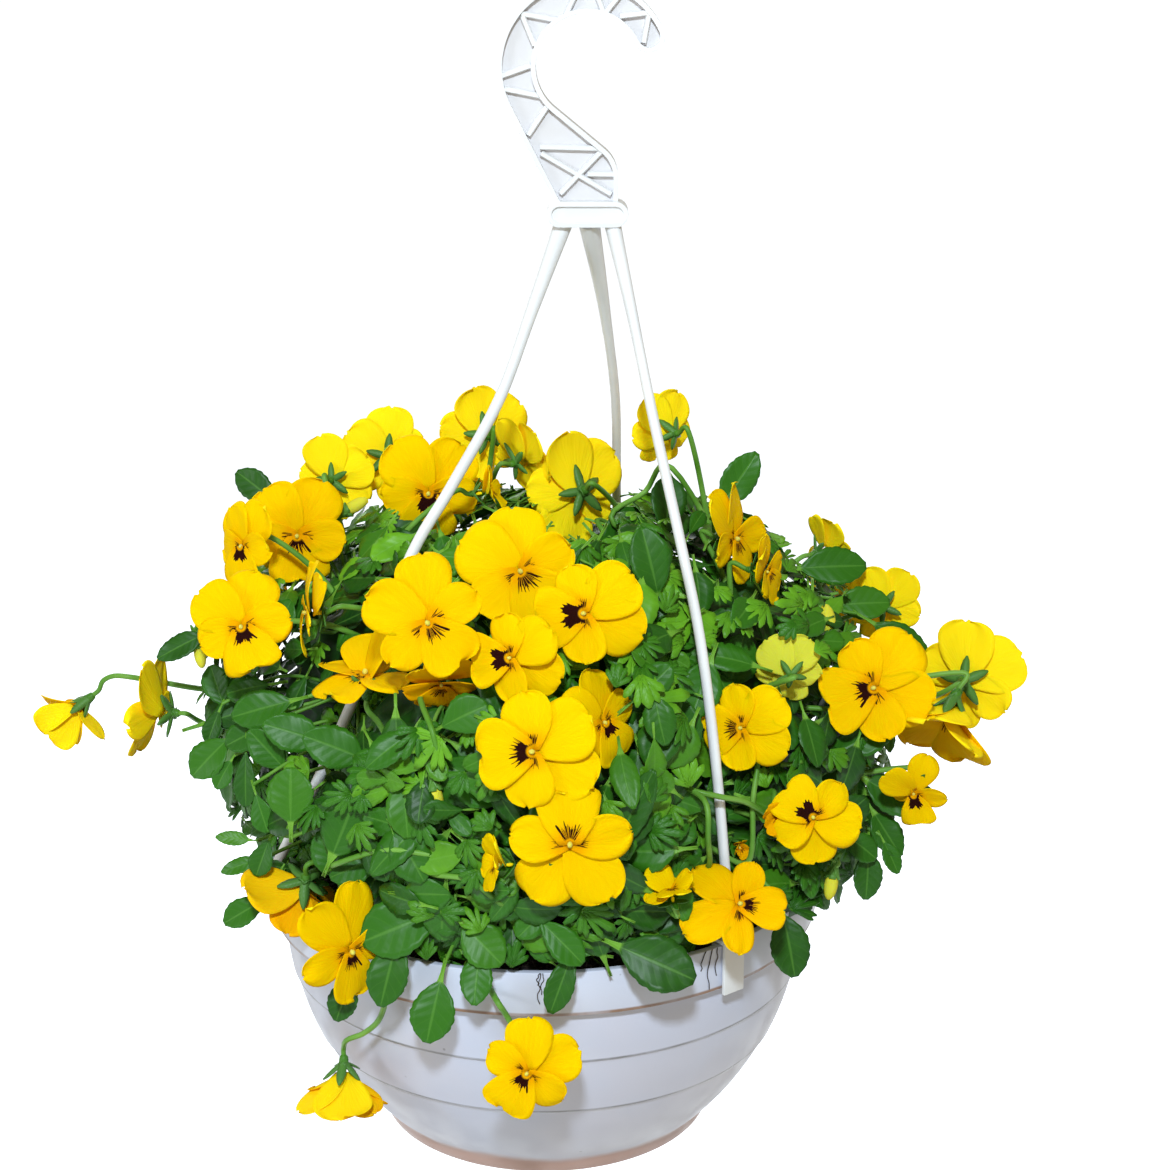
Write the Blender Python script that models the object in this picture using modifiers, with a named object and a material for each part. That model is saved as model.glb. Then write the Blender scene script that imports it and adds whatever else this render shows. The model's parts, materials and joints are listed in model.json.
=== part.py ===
"""Hanging pot of yellow horned violets: pot, soil, hanger, three plants and their blooms.

Metres, +Z up. The origin is the centre of the pot's foot, the viewer stands at -Y and +X is
to the right. An azimuth is measured from -Y towards +X, as a clock is seen from above.
"""
import math
import random

import bmesh
import bpy
from mathutils import Matrix, Vector
from mathutils.bvhtree import BVHTree

MM = 0.001
GAP = 0.3 * MM

# Pot: a 23 cm bowl with a proud lip, two shallow steps in its wall and a low foot
POT_HEIGHT = 112 * MM
RIM_RADIUS = 115.5 * MM
RIM_THICKNESS = 3 * MM
LIP_HEIGHT = 18.5 * MM
LIP_PROUD = 3.5 * MM
WALL = 2 * MM
WALL_ARC_RADIUS = 124 * MM
WALL_ARC_OFFSET = 13.5 * MM
WALL_ARC_HEIGHT = 94 * MM
STEP_HEIGHTS = (70 * MM, 43.5 * MM)
STEP_DEPTH = 0.8 * MM
FOOT_RADIUS = 70 * MM
FOOT_HEIGHT = 5 * MM
FLOOR = 4 * MM
FACETS = 30

# Soil: fills the pot to just under the rim, with a hole for each plant's root collar
SOIL_TOP = 105 * MM
COLLAR_REACH = 46 * MM
COLLAR_RADIUS = 3.2 * MM
COLLAR_DEPTH = 18 * MM

# Hanger: one flat moulding of hook, crossbar, three straps and three rim clips
HOOK_X = 18 * MM
CROSSBAR_WIDTH = 32 * MM
CROSSBAR_HEIGHT = 10 * MM
CROSSBAR_DEPTH = 12 * MM
CROSSBAR_Z = 384 * MM
HOOK_DEPTH = 8 * MM
HOOK_BORDER = 1.8 * MM
WEB_THICKNESS = 2 * MM
RIB_WIDTH = 2.2 * MM
RIB_DEPTH = 6 * MM
HOOK_INNER_RADIUS = 20 * MM
HOOK_OUTER_RADIUS = 33.7 * MM
HOOK_RISE = 51.5 * MM
STRAP_AZIMUTHS = (40, 160, 280)
STRAP_RADIUS = 2.3 * MM
STRAP_TOP_RADIUS = 3.8 * MM
CLIP_WIDTH = 10.5 * MM
CLIP_THICKNESS = 1.8 * MM
CLIP_OUTER = 21 * MM
CLIP_INNER = 8 * MM

# Each strap's route down from the crossbar, in millimetres, the last point being its rim clip
STRAP_ROUTES = (
    ((27.5, 0, 381), (35, -18, 349), (43.5, -40, 310), (54, -62, 265), (61, -75, 232),
     (67, -84, 187), (71.5, -86, 141)),
    ((18.5, 0, 381), (25, 30, 340), (30, 55, 296), (31, 80, 243), (33, 96, 194), (36, 104, 142)),
    ((9, 0, 381), (-4, -4, 346), (-17, -13, 312), (-36, -24, 279), (-52, -34, 253),
     (-72, -41, 204), (-92, -36, 158)),
)

# Rib ends in the hook, as millimetres right of and above the middle of the crossbar's top
HOOK_RIBS = (
    ((-25.4, 71.4), (-12.0, 69.0)), ((-25.0, 70.6), (-20.4, 59.5)),
    ((-33.0, 48.0), (-22.0, 51.8)), ((-32.0, 43.0), (-17.7, 40.2)),
    ((-15.2, 37.0), (-23.0, 25.4)), ((-18.4, 20.8), (4.6, 20.2)),
    ((-18.0, 18.4), (9.2, 2.6)), ((5.2, 19.0), (-10.6, 2.8)), ((0.0, 10.4), (11.2, 10.2)),
    ((-8.4, 71.0), (-4.4, 79.0)), ((6.2, 71.6), (3.4, 79.0)), ((6.6, 71.4), (12.8, 79.0)),
    ((12.4, 70.4), (24.0, 71.8)), ((23.6, 71.8), (21.6, 60.6)),
)

# Camera that relates the picture's 1170 x 1170 pixels to the world
EYE = Vector((17.0, -950.0, 521.5)) * MM
EYE_PITCH = math.radians(17)
PICTURE_SCALE = 2415.0
PICTURE_MIDDLE = 585.0

# Foliage mound: a rounded barrel that each strap runs through in a furrow of its own
MOUND_CENTRE = 168 * MM
MOUND_HALF_HEIGHT = 98 * MM
MOUND_SIDE_REACH = 148 * MM
MOUND_FRONT_REACH = 130 * MM
MOUND_EXPONENT = 2.6
FURROW_DEPTH = 7 * MM
FURROW_WIDTH = 11
CORE_INSET = 33 * MM
CORE_HALF_HEIGHT = 70 * MM
CORE_CRINKLE = 5 * MM
CORE_HEIGHTS = (107 * MM, 122 * MM, 155 * MM, 190 * MM, 216 * MM, 232 * MM)
CORE_COLUMNS = 8
SECTOR_EDGES = (46, 166, 286)
SECTOR_HALF_GAP = 0.4 * MM

# Leaves, stems and sepals
LEAF_THICKNESS = 0.8 * MM
LEAF_LENGTHS = (32 * MM, 42 * MM)
LEAF_SLENDERNESS = 0.66
LEAF_DRAWS = 60
LEAVES_PER_PLANT = (28, 29, 30)
LEAF_ROOT = 7 * MM
STEM_RADIUS = 1.1 * MM
LONG_STEM = 45 * MM
STALK_WIDTH = 2.4 * MM
SEPAL_REACH = 8.5 * MM
SEPAL_BACK = 5.5 * MM

# Blooms: petal sizes for a bloom with a span of 44 mm
BLOOM_SPAN = 44 * MM
SMALL_SPAN = 30 * MM
PETAL_THICKNESS = 0.8 * MM
LAYER = 1.3 * MM
DISH = 2 * MM
DISH_REACH = 26 * MM
HUB_RADIUS = 2.6 * MM
HUB_BACK = 4 * MM
HUB_FRONT = 5.5 * MM
PETALS = (
    # direction from up in degrees, anticlockwise, then length, width and layer
    (-93, 20 * MM, 18 * MM, 2),
    (-27, 26 * MM, 22 * MM, 0),
    (27, 26 * MM, 22 * MM, 1),
    (93, 20 * MM, 18 * MM, 2),
    (180, 20.5 * MM, 27 * MM, 3),
)

# Blooms seen in the picture: pixel of the eye, world Y and span in mm, yaw (0 faces the
# viewer, positive to the right), pitch (positive up) and roll of the face in degrees
BLOOMS = {
    "bloom_01": (243, 626, -58, 38, -5, 15, 18),
    "bloom_02": (247, 546, -20, 33, -20, 5, 5),
    "bloom_03": (298, 532, 6, 39, 0, 5, 0),
    "bloom_04": (338, 485, 42, 33, 170, 20, 20),
    "bloom_05": (390, 453, 58, 34, 182, 12, -30),
    "bloom_06": (429, 491, 24, 40, 0, 0, 0),
    "bloom_07": (497, 426, 66, 34, -130, 10, 0),
    "bloom_08": (522, 458, 36, 33, 120, 10, 10),
    "bloom_09": (581, 495, 30, 43, 182, 8, 25),
    "bloom_10": (520, 571, -72, 45, 2, 17, 35),
    "bloom_11": (428, 622, -106, 43, 0, 15, 38),
    "bloom_12": (311, 612, -52, 34, 78, 0, 0),
    "bloom_13": (360, 670, -73, 40, -62, 32, -20),
    "bloom_14": (440, 678, -95, 30, 15, -45, 0),
    "bloom_15": (588, 614, -96, 41, -12, 15, -85),
    "bloom_16": (514, 657, -106, 33, -30, 10, -80),
    "bloom_17": (535, 750, -130, 44, -12, 12, -86),
    "bloom_18": (602, 724, -104, 34, 48, 10, 20),
    "bloom_19": (570, 840, -134, 43, 0, 12, 180),
    "bloom_20": (500, 860, -128, 20, -50, 5, 20),
    "bloom_21": (729, 539, -6, 40, 58, 5, 0),
    "bloom_22": (682, 433, 32, 28, -130, 12, 0),
    "bloom_23": (761, 571, -28, 25, 82, 0, 20),
    "bloom_24": (822, 545, 44, 24, 150, 20, 0),
    "bloom_25": (879, 603, 34, 29, 165, 15, 0),
    "bloom_26": (786, 677, -60, 27, 180, 10, 0),
    "bloom_27": (744, 729, -80, 37, -22, 12, -90),
    "bloom_28": (874, 687, -48, 43, -8, 15, -70),
    "bloom_29": (957, 683, -12, 40, 150, 15, 30),
    "bloom_30": (946, 736, -34, 36, 100, -55, 0),
    "bloom_31": (914, 792, -50, 24, -10, -15, 10),
    "bloom_32": (812, 816, -88, 36, 4, 12, -140),
    "bloom_33": (743, 909, -108, 40, 0, 0, 55),
    "bloom_34": (671, 891, -118, 22, -60, 5, -60),
    "bloom_35": (344, 951, -114, 44, 42, 5, 5),
    "bloom_36": (287, 880, -66, 32, -30, -60, 0),
    "bloom_37": (345, 1078, -90, 32, 0, -72, 0),
    "bloom_38": (528, 1070, -138, 34, -6, 6, 0),
    "bloom_39": (70, 706, 10, 28, -130, -28, 0),
    "bloom_40": (152, 712, -16, 38, -80, 0, 10),
    "bloom_41": (745, 846, -70, 16, 20, 0, 40),
    "bloom_42": (769, 814, -84, 23, 5, -10, 0),
    "bloom_43": (483, 492, 0, 19, 60, 10, 0),
}

# Blooms on the far side: azimuth, distance from the axis, height, span, pitch and roll
BACK_BLOOMS = {
    "bloom_44": (122, 150, 204, 38, 15, 20),
    "bloom_45": (140, 142, 158, 42, 5, -25),
    "bloom_46": (150, 128, 226, 36, 30, 10),
    "bloom_47": (176, 148, 196, 42, 15, -15),
    "bloom_48": (184, 142, 142, 36, 0, 150),
    "bloom_49": (199, 132, 232, 38, 35, 30),
    "bloom_50": (216, 152, 184, 41, 12, -60),
    "bloom_51": (238, 148, 206, 40, 15, 15),
}

# Stems led by hand, as the points that follow the calyx, in millimetres
LED_STEMS = {
    "bloom_33": ((65, -104, 139), (44, -88, 138), (20, -56, 134)),
    "bloom_37": ((-83, -93, 88), (-81, -90, 117), (-44, -54, 130)),
    "bloom_38": ((-16, -122, 108), (-18, -119, 118), (-18, -62, 128)),
    "bloom_39": ((-160, 10, 188), (-120, 14, 190), (-76, 14, 186)),
    "bloom_40": ((-120, 8, 172), (-78, 12, 168)),
}

# Large leaves that the picture shows: pixel of the blade's middle, world Y, length and width
# in mm, and the direction of the tip in the picture in degrees, anticlockwise from the right
FEATURE_LEAVES = (
    (652, 966, -126, 36, 27, -25), (562, 982, -126, 25, 10, -108), (433, 1012, -126, 24, 16, -100),
    (476, 980, -128, 17, 12, -95), (404, 925, -112, 33, 22, 200), (484, 946, -124, 21, 17, -40),
    (388, 974, -118, 26, 16, -100), (343, 1000, -110, 18, 12, -105), (802, 950, -82, 30, 17, -80),
    (254, 483, 24, 22, 14, 125), (740, 478, 14, 26, 15, 65), (834, 564, 24, 27, 16, 0),
    (182, 646, -28, 22, 12, 190), (206, 757, -46, 24, 16, 225), (243, 904, -60, 26, 16, 215),
    (405, 808, -110, 24, 15, -80), (647, 560, -58, 27, 17, 110), (680, 735, -88, 26, 17, 100),
    (634, 806, -118, 31, 13, 70), (466, 712, -112, 24, 19, 30),
)

# Pale buds: pixel, world Y and length in mm, direction of the tip in the picture in degrees
BUDS = (
    (435, 800, -112, 11, -70), (828, 622, -18, 15, 100), (831, 885, -70, 12, -100),
    (200, 655, -26, 11, -80), (700, 452, 20, 10, 60), (675, 635, -60, 9, 80),
)

COLOURS = {
    "white_plastic": (0.86, 0.86, 0.90, 0.42),
    "pot_plastic": (0.70, 0.70, 0.78, 0.45),
    "soil": (0.045, 0.030, 0.022, 0.95),
    "foliage": (0.05, 0.19, 0.04, 0.5),
    "petal_yellow": (0.93, 0.62, 0.01, 0.55),
}


def clear_scene():
    for old in list(bpy.data.objects):
        bpy.data.objects.remove(old, do_unlink=True)


def make_collection(name):
    collection = bpy.data.collections.new(name)
    bpy.context.scene.collection.children.link(collection)
    return collection


def make_material(name):
    red, green, blue, roughness = COLOURS[name]
    material = bpy.data.materials.new(name)
    material.use_nodes = True
    shader = material.node_tree.nodes["Principled BSDF"]
    shader.inputs["Base Color"].default_value = (red, green, blue, 1)
    shader.inputs["Roughness"].default_value = roughness
    shader.inputs["Metallic"].default_value = 0
    return material


def make_object(name, mesh, collection, material=None):
    piece = bpy.data.objects.new(name, mesh)
    collection.objects.link(piece)
    if material:
        mesh.materials.clear()
        mesh.materials.append(material)
    return piece


def new_primitive():
    """The primitive just added, taken out of every collection."""
    piece = bpy.context.object
    for collection in list(piece.users_collection):
        collection.objects.unlink(piece)
    return piece


def mesh_from(name, points, faces):
    """Closed mesh from points and faces, with its faces turned outwards."""
    mesh = bpy.data.meshes.new(name)
    mesh.from_pydata([tuple(p) for p in points], [], faces)
    shape = bmesh.new()
    shape.from_mesh(mesh)
    bmesh.ops.recalc_face_normals(shape, faces=shape.faces)
    shape.to_mesh(mesh)
    shape.free()
    return mesh


def settle(piece):
    """Replace an object's data by its evaluated mesh, without modifiers."""
    graph = bpy.context.evaluated_depsgraph_get()
    mesh = bpy.data.meshes.new_from_object(piece.evaluated_get(graph))
    piece.modifiers.clear()
    piece.data = mesh
    return piece


def combine(base, extras, operation, solver="EXACT"):
    """One Boolean of a whole collection with the base, applied, and the collection removed."""
    tools = make_collection("tools")
    for extra in extras:
        tools.objects.link(extra)
        extra.hide_render = True
        extra.display_type = "WIRE"
    modifier = base.modifiers.new(operation.title(), "BOOLEAN")
    modifier.operation = operation
    modifier.operand_type = "COLLECTION"
    modifier.collection = tools
    modifier.solver = solver
    settle(base)
    for extra in extras:
        bpy.data.objects.remove(extra, do_unlink=True)
    bpy.data.collections.remove(tools)
    return base


def turned(name, profile, collection, material):
    """Solid of revolution about Z from a profile of (radius, height) points."""
    mesh = bpy.data.meshes.new(name)
    edges = [(i, i + 1) for i in range(len(profile) - 1)]
    mesh.from_pydata([(r, 0, z) for r, z in profile], edges, [])
    piece = make_object(name, mesh, collection, material)
    screw = piece.modifiers.new("Screw", "SCREW")
    screw.steps = FACETS
    screw.render_steps = FACETS
    screw.use_merge_vertices = True
    screw.merge_threshold = 0.00001
    screw.use_smooth_shade = False
    piece.rotation_euler.z = math.radians(STRAP_AZIMUTHS[0] - 90 + 180 / FACETS)
    return piece


def extruded(name, outline, depth, collection):
    """Flat outline in the X-Z plane, extruded along Y and centred on it."""
    curve = bpy.data.curves.new(name, "CURVE")
    curve.dimensions = "2D"
    curve.fill_mode = "BOTH"
    curve.extrude = depth / 2
    spline = curve.splines.new("POLY")
    spline.points.add(len(outline) - 1)
    for point, (x, z) in zip(spline.points, outline):
        point.co = (x, z, 0, 1)
    spline.use_cyclic_u = True
    guide = make_object(name + "_outline", curve, collection)
    guide.rotation_euler.x = math.pi / 2
    return curve_to_mesh(name, guide, collection)


def tube(name, points, radii, sides_level, collection):
    """Round bar along points, with a radius at each point and filled caps."""
    curve = bpy.data.curves.new(name, "CURVE")
    curve.dimensions = "3D"
    curve.bevel_depth = 1
    curve.bevel_resolution = sides_level
    curve.use_fill_caps = True
    spline = curve.splines.new("POLY")
    spline.points.add(len(points) - 1)
    for point, place, radius in zip(spline.points, points, radii):
        point.co = (*place, 1)
        point.radius = radius
    guide = make_object(name + "_route", curve, collection)
    return curve_to_mesh(name, guide, collection)


def curve_to_mesh(name, guide, collection):
    graph = bpy.context.evaluated_depsgraph_get()
    mesh = bpy.data.meshes.new_from_object(guide.evaluated_get(graph))
    shape = bmesh.new()
    shape.from_mesh(mesh)
    bmesh.ops.remove_doubles(shape, verts=shape.verts, dist=0.00001)
    bmesh.ops.recalc_face_normals(shape, faces=shape.faces)
    shape.to_mesh(mesh)
    shape.free()
    piece = make_object(name, mesh, collection)
    piece.matrix_world = guide.matrix_basis.copy()
    bpy.data.objects.remove(guide, do_unlink=True)
    return piece


def wall_radius(height):
    """Outer radius of the bowl's wall, an arc, with a small step in below each line."""
    rise = WALL_ARC_HEIGHT - height
    radius = math.sqrt(WALL_ARC_RADIUS ** 2 - rise ** 2) - WALL_ARC_OFFSET
    return radius - STEP_DEPTH * sum(height < step for step in STEP_HEIGHTS)


def build_pot(collection, material):
    floor = FLOOR + FOOT_HEIGHT / 2
    lip_bottom = POT_HEIGHT - LIP_HEIGHT
    inner = [(wall_radius(z) - WALL, z) for z in (16 * MM, 60 * MM, lip_bottom)]
    profile = [(0, floor), (wall_radius(floor) - WALL - 8 * MM, floor)]
    profile += inner
    profile += [(RIM_RADIUS - RIM_THICKNESS, POT_HEIGHT), (RIM_RADIUS, POT_HEIGHT)]
    profile += [(RIM_RADIUS - 0.4 * MM, lip_bottom), (RIM_RADIUS - LIP_PROUD, lip_bottom)]
    for step in STEP_HEIGHTS:
        profile += [(wall_radius(step), step), (wall_radius(step - STEP_DEPTH), step - STEP_DEPTH)]
    profile += [(wall_radius(z), z) for z in (22 * MM, FOOT_HEIGHT)]
    profile += [(FOOT_RADIUS + 1.5 * MM, FOOT_HEIGHT - 1 * MM), (FOOT_RADIUS, 0), (0, 0)]
    return turned("pot", profile, collection, material)


def collar_points():
    """Places of the three root collars, in the middle of each plant's sector."""
    for edge in SECTOR_EDGES:
        middle = math.radians(edge - 60)
        yield Vector((math.sin(middle), -math.cos(middle), 0)) * COLLAR_REACH


def build_soil(collection, material):
    floor = FLOOR + FOOT_HEIGHT / 2 + GAP
    clear = WALL + 2 * GAP
    sides = [(wall_radius(z) - clear, z) for z in (60 * MM, 16 * MM)]
    edge = wall_radius(POT_HEIGHT - LIP_HEIGHT) - clear
    profile = [(0, SOIL_TOP), (edge - 9 * MM, SOIL_TOP - 1 * MM)]
    profile += [(edge, POT_HEIGHT - LIP_HEIGHT)] + sides
    profile += [(wall_radius(floor) - clear - 9 * MM, floor), (0, floor)]
    soil = settle(turned("soil", profile, collection, material))
    cutters = []
    for place in collar_points():
        top = SOIL_TOP + 6 * MM
        bottom = SOIL_TOP - COLLAR_DEPTH - GAP
        bpy.ops.mesh.primitive_cylinder_add(
            vertices=6, radius=COLLAR_RADIUS + 2 * GAP, depth=top - bottom,
            location=(place.x, place.y, (top + bottom) / 2))
        cutters.append(new_primitive())
    return combine(soil, cutters, "DIFFERENCE")


def arc(cx, cz, radius, start, end, steps):
    for i in range(steps + 1):
        angle = math.radians(start + (end - start) * i / steps)
        yield (cx + radius * math.cos(angle), cz + radius * math.sin(angle))


def hook_outline(inset):
    """Outline of the S hook about the middle of the crossbar's top, drawn in by an inset."""
    lift = HOOK_RISE
    points = [(12 * MM - inset, -2 * MM)]
    points += arc(-2.5 * MM, 9 * MM, 14.5 * MM - inset, 0, 50, 3)
    points += arc(0, lift, HOOK_INNER_RADIUS + inset, 229, 26, 9)
    points += arc(23.6 * MM, 63 * MM, 6.2 * MM - inset, 206, 386, 5)
    points += arc(-1.2 * MM, lift - 0.5 * MM, HOOK_OUTER_RADIUS - inset, 31, 205, 9)
    points += [(-11.8 * MM + inset, -2 * MM)]
    return points


def build_hook(collection):
    """Flat S hook: a thin web with a raised border and slanting ribs on both faces."""
    top = CROSSBAR_Z + CROSSBAR_HEIGHT / 2
    body = extruded("hook", hook_outline(0), HOOK_DEPTH, collection)
    pockets = []
    for side in (-1, 1):
        pocket = extruded("pocket", hook_outline(HOOK_BORDER), HOOK_DEPTH, collection)
        pocket.location.y = side * (HOOK_DEPTH + WEB_THICKNESS) / 2
        pockets.append(pocket)
    for pocket in pockets:
        collection.objects.unlink(pocket)
    combine(body, pockets, "DIFFERENCE")
    body.location = (HOOK_X, 0, top)
    for start, end in HOOK_RIBS:
        run = Vector((end[0] - start[0], end[1] - start[1])) * MM
        middle = Vector((start[0] + end[0], start[1] + end[1])) * MM / 2
        bpy.ops.mesh.primitive_cube_add(size=1)
        rib = new_primitive()
        rib.data.transform(Matrix.Diagonal((run.length, RIB_DEPTH, RIB_WIDTH, 1)))
        rib.rotation_euler.y = -math.atan2(run.y, run.x)
        rib.location = (HOOK_X + middle.x, 0, top + middle.y)
        yield rib
    yield body


def build_crossbar(collection):
    radius = CROSSBAR_HEIGHT / 2
    reach = CROSSBAR_WIDTH / 2 - radius
    outline = list(arc(reach, 0, radius, -90, 90, 5)) + list(arc(-reach, 0, radius, 90, 270, 5))
    bar = extruded("crossbar", outline, CROSSBAR_DEPTH, collection)
    bar.location = (HOOK_X, 0, CROSSBAR_Z)
    return bar


def build_clip(azimuth, collection):
    """Clip that straddles the rim: an outer tab, a bridge over the rim and an inner lug."""
    facet = math.cos(math.pi / FACETS)
    outer = RIM_RADIUS * facet + 1.5 * GAP
    inner = (RIM_RADIUS - RIM_THICKNESS) * facet - 1.5 * GAP
    top = POT_HEIGHT + GAP
    slant = CLIP_INNER * 0.24
    outline = [
        (inner - slant, top - CLIP_INNER), (inner, top), (outer, top), (outer, top - CLIP_OUTER),
        (outer + CLIP_THICKNESS, top - CLIP_OUTER), (outer + CLIP_THICKNESS, top + CLIP_THICKNESS),
        (inner - CLIP_THICKNESS, top + CLIP_THICKNESS),
        (inner - CLIP_THICKNESS - slant, top - CLIP_INNER),
    ]
    clip = extruded("clip", outline, CLIP_WIDTH, collection)
    clip.matrix_world = Matrix.Rotation(math.radians(azimuth - 90), 4, "Z") @ clip.matrix_world
    return clip


def strap_points(route, azimuth):
    """Route of a strap in metres, ending in the bridge of its rim clip."""
    angle = math.radians(azimuth)
    reach = RIM_RADIUS - RIM_THICKNESS / 2
    points = [Vector(p) * MM for p in route]
    end = Vector((math.sin(angle) * reach, -math.cos(angle) * reach, POT_HEIGHT + 1.9 * MM))
    return points + [end]


def build_strap(route, azimuth, collection):
    points = strap_points(route, azimuth)
    radii = [STRAP_TOP_RADIUS, STRAP_RADIUS + 0.7 * MM] + [STRAP_RADIUS] * (len(points) - 2)
    return tube("strap", points, radii, 1, collection)


def build_hanger(collection, material):
    parts = list(build_hook(collection))
    body = parts.pop()
    parts.append(build_crossbar(collection))
    for route, azimuth in zip(STRAP_ROUTES, STRAP_AZIMUTHS):
        parts.append(build_strap(route, azimuth, collection))
        parts.append(build_clip(azimuth, collection))
    for part in parts:
        if part.name in collection.objects:
            collection.objects.unlink(part)
    body.name = "hanger"
    combine(body, parts, "UNION", "MANIFOLD")
    body.data.materials.clear()
    body.data.materials.append(material)
    return body


def sight_point(px, py, y):
    """World point on the sight line of a picture pixel, at a given world Y."""
    across = (px - PICTURE_MIDDLE) / PICTURE_SCALE
    up = (PICTURE_MIDDLE - py) / PICTURE_SCALE
    cos, sin = math.cos(EYE_PITCH), math.sin(EYE_PITCH)
    ray = Vector((across, cos + up * sin, up * cos - sin))
    return EYE + ray * ((y - EYE.y) / ray.y)


def picture_direction(angle):
    """World direction of an angle in the picture, anticlockwise from the right."""
    angle = math.radians(angle)
    up = Vector((0, math.sin(EYE_PITCH), math.cos(EYE_PITCH)))
    return Vector((math.cos(angle), 0, 0)) + up * math.sin(angle)


def radial(azimuth):
    angle = math.radians(azimuth)
    return Vector((math.sin(angle), -math.cos(angle), 0))


def facing(yaw, pitch, roll):
    """Rotation that turns a bloom's face, which looks along its own +Z, as it stands."""
    yaw, pitch = math.radians(yaw), math.radians(pitch)
    normal = Vector((math.sin(yaw) * math.cos(pitch), -math.cos(yaw) * math.cos(pitch),
                     math.sin(pitch)))
    up = Vector((-math.sin(yaw) * math.sin(pitch), math.cos(yaw) * math.sin(pitch),
                 math.cos(pitch)))
    frame = Matrix((up.cross(normal), up, normal)).transposed()
    return frame @ Matrix.Rotation(math.radians(roll), 3, "Z")


def bloom_places():
    """Name, matrix and span of every bloom."""
    for name, (px, py, y, span, yaw, pitch, roll) in BLOOMS.items():
        place = Matrix.Translation(sight_point(px, py, y * MM))
        yield name, place @ facing(yaw, pitch, roll).to_4x4(), span * MM
    for name, (azimuth, reach, height, span, pitch, roll) in BACK_BLOOMS.items():
        centre = radial(azimuth) * reach * MM + Vector((0, 0, height * MM))
        place = Matrix.Translation(centre)
        yield name, place @ facing(azimuth, pitch, roll).to_4x4(), span * MM


def blade(points, triangles, drops):
    """Thin closed blade: its top face, the same face dropped, and the edge between them."""
    count = len(points)
    below = [p - drop for p, drop in zip(points, drops)]
    faces = [tuple(t) for t in triangles]
    faces += [tuple(i + count for i in reversed(t)) for t in triangles]
    faces += [(i, (i + 1) % count, (i + 1) % count + count, i + count) for i in range(count)]
    return list(points) + below, faces


def petal_half(length, width, lower, small):
    """Right half of a petal's outline from its base to its tip, as (across, along)."""
    if small:
        shares = [(0.50, 0.60), (0, 1.0)]
    elif lower:
        shares = [(0.48, 0.52), (0.33, 1.0), (0, 0.92)]
    else:
        shares = [(0.49, 0.52), (0.26, 0.97)]
    return [(across * width, along * length) for across, along in shares]


def petal_outline(turn, length, width, scale, small):
    """Outline of a petal without its base, from its left side round its tip to its right."""
    half = petal_half(length, width, turn == 180, small)
    left = [(-across, along) for across, along in half if across > 0]
    outline = []
    for across, along in left + half[::-1]:
        place = Vector((across, along, 0)) * scale
        place.z = -DISH * scale * (place.length / (DISH_REACH * scale)) ** 2
        outline.append(Matrix.Rotation(math.radians(turn), 3, "Z") @ place)
    return outline


def ladder(left, right, points):
    """Triangles between two upright columns of points, each listed from bottom to top."""
    i, j = 0, 0
    triangles = []
    while i < len(left) - 1 or j < len(right) - 1:
        take_left = j == len(right) - 1
        if not take_left and i < len(left) - 1:
            take_left = points[left[i + 1]].z <= points[right[j + 1]].z
        if take_left:
            triangles.append((left[i], left[i + 1], right[j]))
            i += 1
        else:
            triangles.append((left[i], right[j + 1], right[j]))
            j += 1
    return triangles


def petal_fan(ids):
    """Triangles over a petal's face, in strips from its base, with a notch kept open."""
    low, high = 0, len(ids) - 1
    triangles = []
    while high - low > 4:
        triangles.append((ids[low], ids[low + 1], ids[high]))
        triangles.append((ids[low + 1], ids[high - 1], ids[high]))
        low += 1
        high -= 1
    if high - low == 4:
        a, b, c, d, e = ids[low:high + 1]
        return triangles + [(a, b, c), (a, c, e), (c, d, e)]
    a, b, c, d = ids[low:high + 1]
    return triangles + [(a, b, d), (b, c, d)]


def build_bloom(name, matrix, span, draw, collection, material):
    """Five petals in four layers round a five-sided eye, two upper, two side, one lower."""
    scale = span / BLOOM_SPAN
    small = span < SMALL_SPAN
    turns = [petal[0] for petal in PETALS]
    corners = [(a + b) / 2 for a, b in zip(turns, turns[1:])] + [(turns[-1] + turns[0] + 360) / 2]
    levels = [{-HUB_BACK, HUB_FRONT} for _ in corners]
    for i, (_, _, _, layer) in enumerate(PETALS):
        for corner in (i, i - 1):
            levels[corner] |= {layer * LAYER, layer * LAYER - PETAL_THICKNESS}
    points, columns = [], []
    radius = HUB_RADIUS * max(0.7, scale)
    for corner, heights in zip(corners, levels):
        place = Matrix.Rotation(math.radians(corner), 3, "Z") @ Vector((0, radius, 0))
        column = {}
        for height in sorted(heights):
            column[height] = len(points)
            points.append(place + Vector((0, 0, height)))
        columns.append(column)
    faces = [tuple(column[-HUB_BACK] for column in columns)]
    faces.append(tuple(column[HUB_FRONT] for column in columns))
    for i, (turn, length, width, layer) in enumerate(PETALS):
        left, right = columns[i], columns[i - 1]
        top = layer * LAYER
        bottom = top - PETAL_THICKNESS
        for lowest, highest in ((-HUB_BACK, bottom), (top, HUB_FRONT)):
            sides = [[column[h] for h in sorted(column) if lowest <= h <= highest]
                     for column in (left, right)]
            faces += ladder(*sides, points)
        size = scale * draw.uniform(0.96, 1.04)
        outline = petal_outline(turn + draw.uniform(-4, 4), length, width, size, small)
        first = len(points)
        points += [p + Vector((0, 0, top)) for p in outline]
        points += [p + Vector((0, 0, bottom)) for p in outline]
        count = len(outline)
        upper = [left[top]] + [first + k for k in range(count)] + [right[top]]
        under = [left[bottom]] + [first + count + k for k in range(count)] + [right[bottom]]
        faces += petal_fan(upper)
        faces += [tuple(reversed(face)) for face in petal_fan(under)]
        faces += [(upper[k], upper[k + 1], under[k + 1], under[k]) for k in range(count + 1)]
    bloom = make_object(name, mesh_from(name, points, faces), collection, material)
    bloom.matrix_world = matrix
    return bloom


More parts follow.
